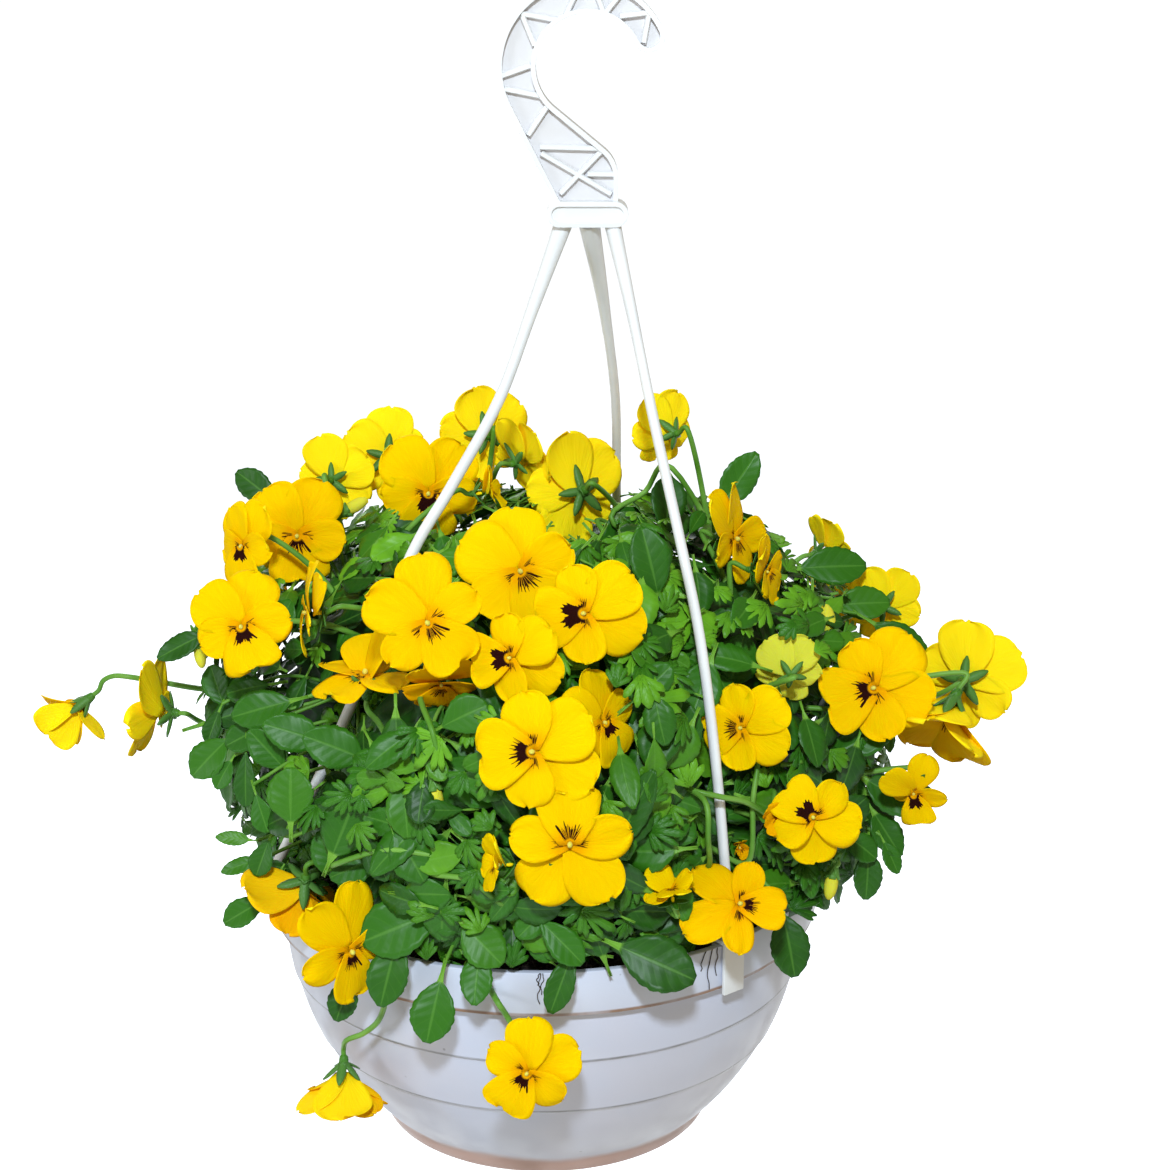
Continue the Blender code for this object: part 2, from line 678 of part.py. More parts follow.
def angle_between(a, b):
    return abs((a - b + 180) % 360 - 180)


def strap_at(route, azimuth, height):
    """Azimuth and distance from the axis of a strap at a height."""
    points = strap_points(route, azimuth)
    for above, below in zip(points, points[1:]):
        if height >= below.z:
            break
    share = min(max((above.z - height) / (above.z - below.z), 0), 1)
    place = above.lerp(below, share)
    return math.degrees(math.atan2(place.x, -place.y)), place.xy.length


def barrel(height, half_height):
    share = min(1, abs(height - MOUND_CENTRE) / half_height)
    return (1 - share ** MOUND_EXPONENT) ** (1 / MOUND_EXPONENT)


def furrowed(reach, azimuth, height, margin):
    """Reach drawn in to pass inside each strap by a margin, in a furrow along it."""
    result = reach
    for route, end in zip(STRAP_ROUTES, STRAP_AZIMUTHS):
        side, limit = strap_at(route, end, height)
        depth = max(0, reach - max(limit - margin, 14 * MM))
        fade = math.exp(-(angle_between(azimuth, side) / FURROW_WIDTH) ** 2)
        result = min(result, reach - depth * fade)
    return result


def mound_reach(azimuth, height):
    """Distance of the foliage's surface from the pot's axis."""
    forward = max(0, math.cos(math.radians(azimuth)))
    reach = MOUND_SIDE_REACH - (MOUND_SIDE_REACH - MOUND_FRONT_REACH) * forward ** 1.5
    return furrowed(reach * barrel(height, MOUND_HALF_HEIGHT), azimuth, height, FURROW_DEPTH)


def core_reach(azimuth, height):
    """Distance of the dark inner mass of stems and leaves from the pot's axis."""
    forward = max(0, math.cos(math.radians(azimuth)))
    reach = MOUND_SIDE_REACH - (MOUND_SIDE_REACH - MOUND_FRONT_REACH) * forward ** 1.5
    reach = (reach - CORE_INSET) * barrel(height, CORE_HALF_HEIGHT)
    crinkle = math.sin(0.21 * azimuth + height * 190) * math.sin(0.13 * azimuth - height * 260)
    reach = furrowed(reach + CORE_CRINKLE * crinkle, azimuth, height, 2.5 * FURROW_DEPTH)
    if height < POT_HEIGHT + 8 * MM:
        reach = min(reach, RIM_RADIUS - RIM_THICKNESS - 10 * MM)
    return max(reach, 12 * MM)


def core_point(azimuth, height):
    return radial(azimuth) * core_reach(azimuth, height) + Vector((0, 0, height))


def sector_offset(point, edge):
    """Distance of a point inside the sector that ends at this edge, from its nearer side."""
    sides = []
    for azimuth, sign in ((edge, -1), (edge - 120, 1)):
        along = radial(azimuth)
        normal = Vector((-along.y, along.x, 0)) * sign
        sides.append(point.dot(normal))
    return min(sides)


def build_core(edge, collection):
    """Inner mass of one plant, a lofted wedge of 120 degrees of the mound."""
    steps = CORE_COLUMNS
    start = edge - 120
    inset = radial(edge - 60) * SECTOR_HALF_GAP / math.sin(math.radians(60))
    rings = []
    for height in CORE_HEIGHTS:
        ring = [Vector((0, 0, height)) + inset]
        for i in range(steps + 1):
            azimuth = start + 120 * i / steps
            ring.append(core_point(azimuth, height) + inset)
        rings.append(ring)
    count = steps + 2
    points = [p for ring in rings for p in ring]
    faces = []
    for level in range(len(rings) - 1):
        low, high = level * count, (level + 1) * count
        for i in range(count):
            j = (i + 1) % count
            faces.append((low + i, low + j, high + j, high + i))
    faces.append(tuple(reversed(range(count))))
    last = (len(rings) - 1) * count
    faces.append(tuple(last + i for i in range(count)))
    mesh = mesh_from("core", points, faces)
    shape = bmesh.new()
    shape.from_mesh(mesh)
    bmesh.ops.triangulate(shape, faces=shape.faces)
    shape.to_mesh(mesh)
    shape.free()
    return make_object("core", mesh, collection)


def leaf_margin(base, axis, normal, length, width, scallops, swell):
    """Scalloped margin of a blade folded a little along its midrib, from left round to right."""
    side = axis.cross(normal).normalized()
    normal = side.cross(axis).normalized()
    stations = scallops * 2 - 1
    left, right = [], []
    for i in range(stations):
        along = 0.34 + 0.52 * i / (stations - 1)
        half = width / 2 * math.sin(math.pi * (0.12 + 0.80 * along) ** 1.15) * swell
        if i % 2:
            half *= 0.86
        rise = half * 0.22 - length * 0.10 * along ** 2
        centre = base + axis * (along * length) + normal * rise
        left.append(centre - side * half)
        right.append(centre + side * half)
    tip = base + axis * (length * (1 + (swell - 1) / 2)) - normal * (length * 0.10)
    return left + [tip] + right[::-1]


def leaf_solid(root, axis, normal, length, width, thickness, swell=1.0):
    """Stalkless blade that widens from a single root point."""
    points = [root] + leaf_margin(root, axis, normal, length, width, 2, swell)
    triangles = [(0, i, i + 1) for i in range(1, len(points) - 1)]
    lift = normal * (thickness / 2)
    return blade([p + lift for p in points], triangles, [normal * thickness] * len(points))


def stalked_leaf(root, neck, axis, normal, length, width):
    """Blade with a flat stalk, from a root inside the plant to the neck where it widens."""
    depth = normal * LEAF_THICKNESS
    stalk_depth = depth - axis * STALK_WIDTH / 2
    side = (neck - root).cross(stalk_depth).normalized() * STALK_WIDTH / 2
    margin = leaf_margin(neck, axis, normal, length, width, 3, 1.0)
    points = [root - side, neck - side] + margin + [neck + side, root + side]
    last = len(points) - 1
    middle = len(margin) // 2 + 2
    triangles = [(0, 1, last), (1, last - 1, last), (1, middle, last - 1)]
    triangles += [(1, i, i + 1) for i in range(2, middle)]
    triangles += [(last - 1, i, i + 1) for i in range(middle, last - 2)]
    drops = [stalk_depth] * 2 + [depth] * len(margin) + [stalk_depth] * 2
    return blade(points, triangles, drops)


def tree_of(solid):
    return BVHTree.FromPolygons([tuple(p) for p in solid[0]], solid[1])


def world_tree(piece):
    graph = bpy.context.evaluated_depsgraph_get()
    mesh = piece.evaluated_get(graph).to_mesh()
    points = [piece.matrix_world @ v.co for v in mesh.vertices]
    return BVHTree.FromPolygons([tuple(p) for p in points], [tuple(f.vertices) for f in mesh.polygons])


def strap_curtains():
    """Sheets from each front strap towards the viewer, which keep leaves from hiding it."""
    for route, azimuth in zip(STRAP_ROUTES, STRAP_AZIMUTHS):
        points = strap_points(route, azimuth)
        near = [p + (EYE - p).normalized() * 75 * MM for p in points]
        faces = []
        for i in range(len(points) - 1):
            faces.append((i, i + 1, i + 1 + len(points), i + len(points)))
        for shift in (-3.2 * MM, 3.2 * MM):
            aside = Vector((shift, 0, 0))
            yield tree_of(([p + aside for p in points + near], faces))


def bloom_shields(places):
    """Discs in front of each bloom, towards the viewer, which keep leaves from hiding it."""
    for name, matrix, span in places:
        if name not in BLOOMS:
            continue
        centre = matrix.translation
        towards = (EYE - centre).normalized()
        ring = [matrix @ Vector((math.cos(a) * span * 0.42, math.sin(a) * span * 0.42, 0))
                for a in (math.tau * k / 8 for k in range(8))]
        for step in (8 * MM, 18 * MM, 30 * MM, 45 * MM):
            yield tree_of(([p + towards * step for p in ring], [tuple(range(8))]))


def stem_ways(name, top, back, edge):
    """Routes for a stem from a calyx down into its plant's core, the plainest first."""
    if name in LED_STEMS:
        yield [top] + [Vector(p) * MM for p in LED_STEMS[name]]
        return
    azimuth = math.degrees(math.atan2(top.x, -top.y))
    for swing in (0, 7, -7, 14, -14, 22, -22, 32, -32):
        for fall in (26, 12, 42, 0, 60):
            height = min(max(top.z - fall * MM, 124 * MM), 216 * MM)
            root = inner_point(azimuth + swing, height, edge)
            bend = top + back * 8 * MM + Vector((0, 0, 1.5 * MM))
            for rise in (0.10, -0.05):
                knee = bend.lerp(root, 0.5) + Vector((0, 0, (bend - root).length * rise))
                knees = [knee] if (bend - root).length > LONG_STEM else []
                yield [top, bend] + knees + [root]


def inner_point(azimuth, height, edge):
    """Point well inside a plant's core, on its own side of the sector's planes."""
    azimuth = (azimuth - edge + 240) % 360 + edge - 240
    azimuth = min(max(azimuth, edge - 116), edge - 4)
    reach = max(core_reach(azimuth, height) - 15 * MM, 8 * MM)
    point = radial(azimuth) * reach + Vector((0, 0, height))
    while sector_offset(point, edge) < 4 * MM:
        point += radial(edge - 60) * MM
    return point


def ring_about(place, along, across, radius):
    """Three points round a stem, with the first on the given side of it."""
    along = along.normalized()
    across = (across - along * across.dot(along)).normalized()
    other = across.cross(along)
    turns = [math.tau * k / 3 for k in range(3)]
    return [place + (across * math.cos(t) + other * math.sin(t)) * radius for t in turns]


def calyx_back(matrix, span):
    scale = max(0.62, span / BLOOM_SPAN)
    back = matrix.to_3x3() @ Vector((0, 0, -1))
    return matrix @ Vector((0, 0, -HUB_BACK - GAP - SEPAL_BACK * scale)), back


def calyx_solid(matrix, span, route):
    """Five pointed sepals behind a bloom, narrowing into a three-sided stem."""
    scale = max(0.62, span / BLOOM_SPAN)
    points = []
    for k in range(10):
        reach = (SEPAL_REACH if k % 2 == 0 else 2.6 * MM) * scale
        spin = Matrix.Rotation(math.tau * k / 10, 3, "Z")
        points.append(matrix @ (spin @ Vector((0, reach, 0)) - Vector((0, 0, HUB_BACK + GAP))))
    across = points[0] - points[5]
    for i, place in enumerate(route):
        along = route[min(i + 1, len(route) - 1)] - route[max(i - 1, 0)]
        if i == 0:
            along = matrix.to_3x3() @ Vector((0, 0, -1))
        points += ring_about(place, along, across, STEM_RADIUS)
    faces = [tuple(range(10))]
    for k in range(10):
        here, beyond = [10 + int(0.3 * v + 0.5) % 3 for v in (k, k + 1)]
        faces.append((k, (k + 1) % 10, here))
        if here != beyond:
            faces.append(((k + 1) % 10, beyond, here))
    for i in range(len(route) - 1):
        for k in range(3):
            j = (k + 1) % 3
            low, high = 10 + i * 3, 13 + i * 3
            faces.append((low + k, low + j, high + j, high + k))
    last = len(points)
    faces.append((last - 3, last - 2, last - 1))
    return points, faces


def sector_of(point):
    for edge in SECTOR_EDGES:
        if sector_offset(point, edge) > 0:
            return edge
    return SECTOR_EDGES[0]


def holds(tree, point):
    """Whether a closed surface has a point inside it."""
    direction = Vector((0.12, 0.23, 0.97)).normalized()
    crossings = 0
    hit = tree.ray_cast(point, direction)[0]
    while hit:
        crossings += 1
        hit = tree.ray_cast(hit + direction * GAP / 100, direction)[0]
    return crossings % 2 == 1


def free_of(solid, trees):
    candidate = tree_of(solid)
    return not any(candidate.overlap(tree) for tree in trees)


def thread_calyx(name, matrix, span, edge, trees, own):
    """Calyx with the first stem route that clears everything else, or the plainest one."""
    top, back = calyx_back(matrix, span)
    first = None
    for route in stem_ways(name, top, back, edge):
        solid = calyx_solid(matrix, span, route)
        first = first or solid
        if free_of(solid, trees) and free_of(solid, own):
            return solid
    print("no clear way for the stem of", name)
    return first


def feature_ways(px, py, y, length, width, angle, edge):
    """Large leaf from the picture, with each root and stalk that might suit it in turn."""
    centre = sight_point(px, py, y * MM)
    axis = picture_direction(angle)
    outward = Vector((centre.x, centre.y, 0)).normalized()
    axis = (axis + outward * 0.25).normalized()
    normal = (EYE - centre).normalized() * 0.8 + outward * 0.3 + Vector((0, 0, 0.2))
    normal = (normal - axis * normal.dot(axis)).normalized()
    neck = centre - axis * length * 0.5 * MM
    azimuth = math.degrees(math.atan2(neck.x, -neck.y))
    for swing in (0, 8, -8, 16, -16, 26, -26):
        for rise in (4, 20, 40, -14):
            height = min(max(neck.z + rise * MM, 124 * MM), 216 * MM)
            root = inner_point(azimuth + swing, height, edge)
            run = (neck - root).normalized()
            if run.dot(axis) * LEAF_THICKNESS + run.dot(normal) * STALK_WIDTH / 2 > 0.2 * MM:
                yield stalked_leaf(root, neck, axis, normal, length * MM, width * MM)


def thread_leaf(leaf, edge, trees, own):
    """Feature leaf with the first stalk that clears everything else, or the plainest one."""
    first = None
    for solid in feature_ways(*leaf, edge):
        first = first or solid
        if free_of(solid, trees) and free_of(solid, own):
            return solid
    print("no clear way for the leaf", leaf)
    return first


def grown_leaf(draw, edge):
    """Root, axis, normal and length of a leaf that stands out of the core, tip downhill."""
    azimuth = edge - 60 + draw.uniform(-58, 58)
    low, high = CORE_HEIGHTS[1], CORE_HEIGHTS[-1]
    height = low + (high - low) * draw.random() ** 0.8
    here = core_point(azimuth, height)
    lift = min(1, max(0, (height - MOUND_CENTRE) / CORE_HALF_HEIGHT)) ** 2
    outward = (radial(azimuth) * (1.1 - lift) + Vector((0, 0, 0.15 + 1.1 * lift))).normalized()
    if height > CORE_HEIGHTS[-2] and draw.random() < 0.6:
        here = here * draw.uniform(0.3, 0.9)
        here.z = CORE_HEIGHTS[-1]
        outward = (radial(azimuth) * 0.3 + Vector((0, 0, 1))).normalized()
    across = Vector((-radial(azimuth).y, radial(azimuth).x, 0))
    up = outward.cross(across).normalized()
    if up.z < 0:
        up.negate()
    turn = draw.uniform(0, math.tau)
    tangent = up * math.cos(turn) + across * math.sin(turn)
    axis = (outward * draw.uniform(0.35, 0.9) + tangent).normalized()
    normal = (outward + up * draw.uniform(-0.1, 0.4)).normalized()
    normal = (normal - axis * normal.dot(axis)).normalized()
    root = here - outward * LEAF_ROOT
    return root, axis, normal, draw.uniform(*LEAF_LENGTHS) + LEAF_ROOT


def clear_of_pot(points):
    """Whether every point that lies below the rim is well outside the pot."""
    for p in points:
        if p.z < POT_HEIGHT + 2 * MM and p.xy.length < RIM_RADIUS + 3 * MM:
            return False
    return True


def shows_the_rim(points):
    """Whether a leaf stays off the rim and the bare stretch of pot in the viewer's middle."""
    return all(p.z > 121 * MM or p.y > -60 * MM for p in points)


def grow_leaves(edge, core_tree, count, trees, own, taken, seed):
    """Leaves drawn on the core, each the clear one that is furthest from what is there."""
    draw = random.Random(seed)
    leaves = []
    for _ in range(count):
        best, best_room = None, 0
        for _ in range(LEAF_DRAWS):
            root, axis, normal, length = grown_leaf(draw, edge)
            width = length * LEAF_SLENDERNESS
            middle = root + axis * length * 0.6
            room = min(((middle - other).length for other in taken), default=1)
            if room <= best_room or not holds(core_tree, root):
                continue
            wide = leaf_solid(root, axis, normal, length, width, 3 * LEAF_THICKNESS, 1.08)
            if not (clear_of_pot(wide[0]) and shows_the_rim(wide[0])):
                continue
            if free_of(wide, trees) and free_of(wide, own):
                best = (root, axis, normal, length, width, LEAF_THICKNESS)
                best_room = room
        if best:
            leaves.append(leaf_solid(*best))
            own.append(tree_of(leaves[-1]))
            taken.append(best[0] + best[1] * best[3] * 0.6)
    return leaves


def build_bud(px, py, y, length, angle, edge, collection):
    """Closed bud on a thin arching stem."""
    centre = sight_point(px, py, y * MM)
    axis = picture_direction(angle)
    tail = centre - axis * length * 0.5 * MM
    azimuth = math.degrees(math.atan2(tail.x, -tail.y))
    root = inner_point(azimuth, min(max(tail.z, 124 * MM), 216 * MM), edge)
    knee = tail.lerp(root, 0.4) - axis * 3 * MM
    points = [root, knee, tail, centre, centre + axis * length * 0.5 * MM]
    radii = [STEM_RADIUS, STEM_RADIUS, STEM_RADIUS, length * 0.21 * MM, 0.5 * MM]
    bud = tube("bud", points, radii, 0, collection)
    collection.objects.unlink(bud)
    return bud


def build_plant(name, edge, core, count, places, trees, screens, seed, collection, material):
    """One leafy plant: core, leaves, bloom stems, calyces and buds, united in one body."""
    solids, own, taken = [], [], [matrix.translation for _, matrix, _ in places]
    for bloom, matrix, span in places:
        if sector_of(matrix @ Vector((0, 0, -HUB_BACK - 3 * MM))) == edge:
            solids.append(thread_calyx(bloom, matrix, span, edge, trees, own))
            own.append(tree_of(solids[-1]))
    for leaf in FEATURE_LEAVES:
        centre = sight_point(leaf[0], leaf[1], leaf[2] * MM)
        if sector_of(centre) == edge:
            solids.append(thread_leaf(leaf, edge, trees, own))
            own.append(tree_of(solids[-1]))
            taken.append(centre)
    buds = []
    for bud in BUDS:
        if sector_of(sight_point(bud[0], bud[1], bud[2] * MM)) == edge:
            buds.append(build_bud(*bud, edge, collection))
            own.append(world_tree(buds[-1]))
    leaves = grow_leaves(edge, world_tree(core), count, trees + screens, own, taken, seed)
    trees += own
    parts = [bpy.data.objects.new("leaf", mesh_from("leaf", *s)) for s in solids + leaves]
    core.name = name
    combine(core, parts + buds + [root_collar(edge)], "UNION", "MANIFOLD")
    core.data.materials.clear()
    core.data.materials.append(material)


def root_collar(edge):
    """Woody foot of a plant, standing in its hole in the soil."""
    place = radial(edge - 60) * COLLAR_REACH
    bottom = SOIL_TOP - COLLAR_DEPTH
    top = CORE_HEIGHTS[0] + 8 * MM
    bpy.ops.mesh.primitive_cylinder_add(
        vertices=6, radius=COLLAR_RADIUS, depth=top - bottom,
        location=(place.x, place.y, (top + bottom) / 2))
    return new_primitive()


def build():
    clear_scene()
    collection = make_collection("potted_horned_violet")
    materials = {name: make_material(name) for name in COLOURS}
    pot = build_pot(collection, materials["pot_plastic"])
    soil = build_soil(collection, materials["soil"])
    hanger = build_hanger(collection, materials["white_plastic"])
    places = list(bloom_places())
    yellow = materials["petal_yellow"]
    blooms = []
    for index, (name, matrix, span) in enumerate(places):
        draw = random.Random(index)
        blooms.append(build_bloom(name, matrix, span, draw, collection, yellow))
    bpy.context.view_layer.update()
    trees = [world_tree(piece) for piece in [pot, soil, hanger] + blooms]
    screens = list(strap_curtains()) + list(bloom_shields(places))
    names = ("plant_front", "plant_right", "plant_left")
    cores = [build_core(edge, collection) for edge in SECTOR_EDGES]
    core_trees = [world_tree(core) for core in cores]
    for index, (name, edge, core) in enumerate(zip(names, SECTOR_EDGES, cores)):
        others = core_trees[:index] + core_trees[index + 1:]
        known = trees + others
        build_plant(name, edge, core, LEAVES_PER_PLANT[index], places, known, screens,
                    100 + index, collection, materials["foliage"])
        trees = known[:len(trees)] + known[len(trees) + len(others):]


build()
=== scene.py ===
import json
import math
import random
import bmesh
import bpy
import numpy as np
from mathutils import Matrix, Vector

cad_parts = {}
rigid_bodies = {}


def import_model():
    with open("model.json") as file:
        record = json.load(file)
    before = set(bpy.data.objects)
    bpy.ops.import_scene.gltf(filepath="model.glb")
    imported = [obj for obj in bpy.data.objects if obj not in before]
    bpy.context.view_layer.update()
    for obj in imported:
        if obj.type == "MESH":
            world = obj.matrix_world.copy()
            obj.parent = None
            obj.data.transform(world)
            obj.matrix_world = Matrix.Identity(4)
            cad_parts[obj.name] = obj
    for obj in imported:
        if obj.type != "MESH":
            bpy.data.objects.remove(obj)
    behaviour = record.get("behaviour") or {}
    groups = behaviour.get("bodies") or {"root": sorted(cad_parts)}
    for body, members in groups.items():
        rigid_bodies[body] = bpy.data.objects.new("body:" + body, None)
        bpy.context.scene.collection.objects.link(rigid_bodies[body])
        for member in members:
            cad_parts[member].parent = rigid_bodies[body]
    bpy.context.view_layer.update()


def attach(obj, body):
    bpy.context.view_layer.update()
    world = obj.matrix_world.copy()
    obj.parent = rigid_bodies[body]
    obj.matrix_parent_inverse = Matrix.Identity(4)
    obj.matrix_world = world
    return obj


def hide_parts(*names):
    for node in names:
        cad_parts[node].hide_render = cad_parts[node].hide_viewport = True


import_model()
mm = 0.001

# the viewpoint of the picture; places below are told as pixels of it
view = {"eye": Vector((17, -950, 521.5)) * mm, "pitch": math.radians(17), "scale": 2415,
        "pixels": 1170, "middle": 585, "sensor": 36, "farthest": 200}


# helpers for places in the picture

def sightPoint(px, py, y):
    across = (px - view["middle"]) / view["scale"]
    up = (view["middle"] - py) / view["scale"]
    cos, sin = math.cos(view["pitch"]), math.sin(view["pitch"])
    ray = Vector((across, cos + up * sin, up * cos - sin))
    return view["eye"] + ray * ((y - view["eye"].y) / ray.y)


def picturePlace(point):
    # pixel and depth of a point, the way the camera sees it
    away = Vector(point) - view["eye"]
    cos, sin = math.cos(view["pitch"]), math.sin(view["pitch"])
    depth = away.y * cos - away.z * sin
    up = away.y * sin + away.z * cos
    return (view["middle"] + view["scale"] * away.x / depth,
            view["middle"] - view["scale"] * up / depth, depth)


def pictureDirection(degrees):
    angle = math.radians(degrees)
    up = Vector((0, math.sin(view["pitch"]), math.cos(view["pitch"])))
    return Vector((math.cos(angle), 0, 0)) + up * math.sin(angle)


def radial(azimuth):
    angle = math.radians(azimuth)
    return Vector((math.sin(angle), -math.cos(angle), 0))


def azimuthOf(point):
    return math.degrees(math.atan2(point.x, -point.y))


def basis(axis, normal):
    # rotation whose Y runs along the axis and whose Z comes nearest to the normal
    along = axis.normalized()
    across = along.cross(normal).normalized()
    return Matrix((across, along, across.cross(along))).transposed()


def smoothPath(points, steps):
    # Catmull-Rom curve through the points
    ends = [points[0] * 2 - points[1]] + list(points) + [points[-1] * 2 - points[-2]]
    path = []
    for i in range(len(points) - 1):
        a, b, c, d = ends[i:i + 4]
        for k in range(steps):
            t = k / steps
            path.append((b * 2 + (c - a) * t + (a * 2 - b * 5 + c * 4 - d) * t ** 2
                         + (b * 3 - a - c * 3 + d) * t ** 3) / 2)
    return path + [points[-1].copy()]


# helpers for meshes

def linked(name, data):
    piece = bpy.data.objects.new(name, data)
    bpy.context.scene.collection.objects.link(piece)
    return piece


def meshOf(name, points, faces, **attributes):
    mesh = bpy.data.meshes.new(name)
    mesh.from_pydata([tuple(p) for p in points], [], [tuple(f) for f in faces])
    for label, values in attributes.items():
        values = np.asarray(values, float)
        kind, key = ("FLOAT", "value") if values.ndim == 1 else ("FLOAT_VECTOR", "vector")
        mesh.attributes.new(label, kind, "POINT").data.foreach_set(key, values.ravel())
    return mesh


def settled(piece):
    # plain mesh of a piece with its modifiers and its place taken in
    bpy.context.view_layer.update()
    graph = bpy.context.evaluated_depsgraph_get()
    mesh = bpy.data.meshes.new_from_object(piece.evaluated_get(graph))
    mesh.transform(piece.matrix_world)
    name = piece.name
    bpy.data.objects.remove(piece, do_unlink=True)
    mesh.name = name
    return linked(name, mesh)


def faceOut(mesh, merge=0.00001):
    shape = bmesh.new()
    shape.from_mesh(mesh)
    bmesh.ops.remove_doubles(shape, verts=shape.verts, dist=merge)
    bmesh.ops.recalc_face_normals(shape, faces=shape.faces)
    shape.to_mesh(mesh)
    shape.free()


def soften(piece, degrees=40):
    piece.data.shade_smooth()
    piece.data.set_sharp_from_angle(angle=math.radians(degrees))


def addBevel(piece, width, segments, degrees):
    rounding = piece.modifiers.new("Bevel", "BEVEL")
    rounding.width = width * mm
    rounding.segments = segments
    rounding.limit_method = "ANGLE"
    rounding.angle_limit = math.radians(degrees)


def addCut(piece, cutter):
    cut = piece.modifiers.new("Cut", "BOOLEAN")
    cut.operation = "DIFFERENCE"
    cut.object = cutter


def ringFaces(rings, sides):
    # skin over rings of points that run from a first single point to a last one
    last = 1 + rings * sides
    faces = []
    for k in range(sides):
        j = (k + 1) % sides
        faces.append((0, 1 + j, 1 + k))
        for i in range(rings - 1):
            a = 1 + i * sides
            faces.append((a + k, a + j, a + sides + j, a + sides + k))
        a = last - sides
        faces.append((a + k, a + j, last))
    return faces


def twoSided(top, across, along, thickness, face, back):
    # closed sheet from a grid of points, each marked with across, along and the side it is on
    rows, columns = top.shape[:2]
    normal = np.cross(np.gradient(top, axis=1), np.gradient(top, axis=0))
    normal /= np.linalg.norm(normal, axis=2, keepdims=True) + 1e-12
    points = np.concatenate([top.reshape(-1, 3), (top - normal * thickness).reshape(-1, 3)])
    count = rows * columns
    faces = []
    for r in range(rows - 1):
        for c in range(columns - 1):
            a = r * columns + c
            quad = (a, a + 1, a + columns + 1, a + columns)
            faces.append(quad)
            faces.append(tuple(i + count for i in reversed(quad)))
    edge = list(range(columns))
    edge += [r * columns + columns - 1 for r in range(1, rows)]
    edge += [(rows - 1) * columns + c for c in range(columns - 2, -1, -1)]
    edge += [r * columns for r in range(rows - 2, 0, -1)]
    for a, b in zip(edge, edge[1:] + edge[:1]):
        faces.append((b, a, a + count, b + count))
    marks = [np.stack([across.ravel(), along.ravel(), np.full(count, side)], 1) for side in (face, back)]
    return points, faces, np.concatenate(marks)


def addPiece(piece, slot, *nodes):
    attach(piece, "root")
    if nodes:
        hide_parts(*nodes)
    return piece


# helpers for node trees

def shaderNode(tree, kind, inputs=None, **settings):
    made = tree.nodes.new(kind)
    for key, value in settings.items():
        setattr(made, key, value)
    for key, value in (inputs or {}).items():
        if isinstance(value, bpy.types.NodeSocket):
            tree.links.new(value, made.inputs[key])
        else:
            made.inputs[key].default_value = value
    return made


def sums(tree, operation, a, b=0.0, clamp=False):
    return shaderNode(tree, "ShaderNodeMath", {0: a, 1: b}, operation=operation, use_clamp=clamp).outputs[0]


def plus(tree, a, b):
    return sums(tree, "ADD", a, b)


def minus(tree, a, b):
    return sums(tree, "SUBTRACT", a, b)


def unsigned(tree, a):
    return sums(tree, "ABSOLUTE", a)


def times(tree, *values):
    product = values[0]
    for value in values[1:]:
        product = sums(tree, "MULTIPLY", product, value)
    return product


def ramp(tree, value, low, high, start=0.0, end=1.0):
    inputs = {"Value": value, "From Min": low, "From Max": high, "To Min": start, "To Max": end}
    return shaderNode(tree, "ShaderNodeMapRange", inputs, interpolation_type="SMOOTHSTEP").outputs["Result"]


def blend(tree, share, a, b):
    return shaderNode(tree, "ShaderNodeMix", {0: share, 6: a, 7: b}, data_type="RGBA").outputs[2]


def noise(tree, place, scale, detail=2.0):
    inputs = {"Vector": place, "Scale": scale, "Detail": detail}
    return shaderNode(tree, "ShaderNodeTexNoise", inputs).outputs["Fac"]


def parted(tree, vector):
    return shaderNode(tree, "ShaderNodeSeparateXYZ", {0: vector}).outputs


def vectorOf(tree, x, y, z=0.0):
    return shaderNode(tree, "ShaderNodeCombineXYZ", {0: x, 1: y, 2: z}).outputs[0]


def readVector(tree, name):
    return parted(tree, shaderNode(tree, "ShaderNodeAttribute", attribute_name=name).outputs["Vector"])


def readNumber(tree, name):
    return shaderNode(tree, "ShaderNodeAttribute", attribute_name=name).outputs["Fac"]


def colour(red, green, blue):
    return (red, green, blue, 1)


def newMaterial(name, roughness, **constants):
    material = bpy.data.materials.new(name)
    material.use_nodes = True
    tree = material.node_tree
    shader = tree.nodes["Principled BSDF"]
    shader.inputs["Roughness"].default_value = roughness
    for label, value in constants.items():
        shader.inputs[label.replace("_", " ")].default_value = value
    place = tree.nodes.new("ShaderNodeTexCoord").outputs["Object"]
    return material, tree, shader, place


def paint(tree, shader, base):
    tree.links.new(base, shader.inputs["Base Color"])


def wear(tree, shader, patches, low, high):
    # roughness that wanders between two values
    tree.links.new(ramp(tree, patches, 0.3, 0.7, low, high), shader.inputs["Roughness"])


def bump(tree, shader, height, distance, strength=1.0):
    inputs = {"Height": height, "Distance": distance, "Strength": strength}
    tree.links.new(shaderNode(tree, "ShaderNodeBump", inputs).outputs[0], shader.inputs["Normal"])


# geometry trees shared by several pieces

def newTree(name, sockets):
    tree = bpy.data.node_groups.new(name, "GeometryNodeTree")
    tree.interface.new_socket("Geometry", in_out="INPUT", socket_type="NodeSocketGeometry")
    tree.interface.new_socket("Geometry", in_out="OUTPUT", socket_type="NodeSocketGeometry")
    for label, kind, value in sockets:
        made = tree.interface.new_socket(label, in_out="INPUT", socket_type="NodeSocket" + kind)
        if value is not None:
            made.default_value = value
    return tree, tree.nodes.new("NodeGroupInput").outputs, tree.nodes.new("NodeGroupOutput").inputs


def finishTree(tree, entry, leave, shape):
    real = shaderNode(tree, "GeometryNodeRealizeInstances", {"Geometry": shape}).outputs[0]
    painted = shaderNode(tree, "GeometryNodeSetMaterial", {"Geometry": real, "Material": entry["Material"]})
    tree.links.new(painted.outputs[0], leave[0])


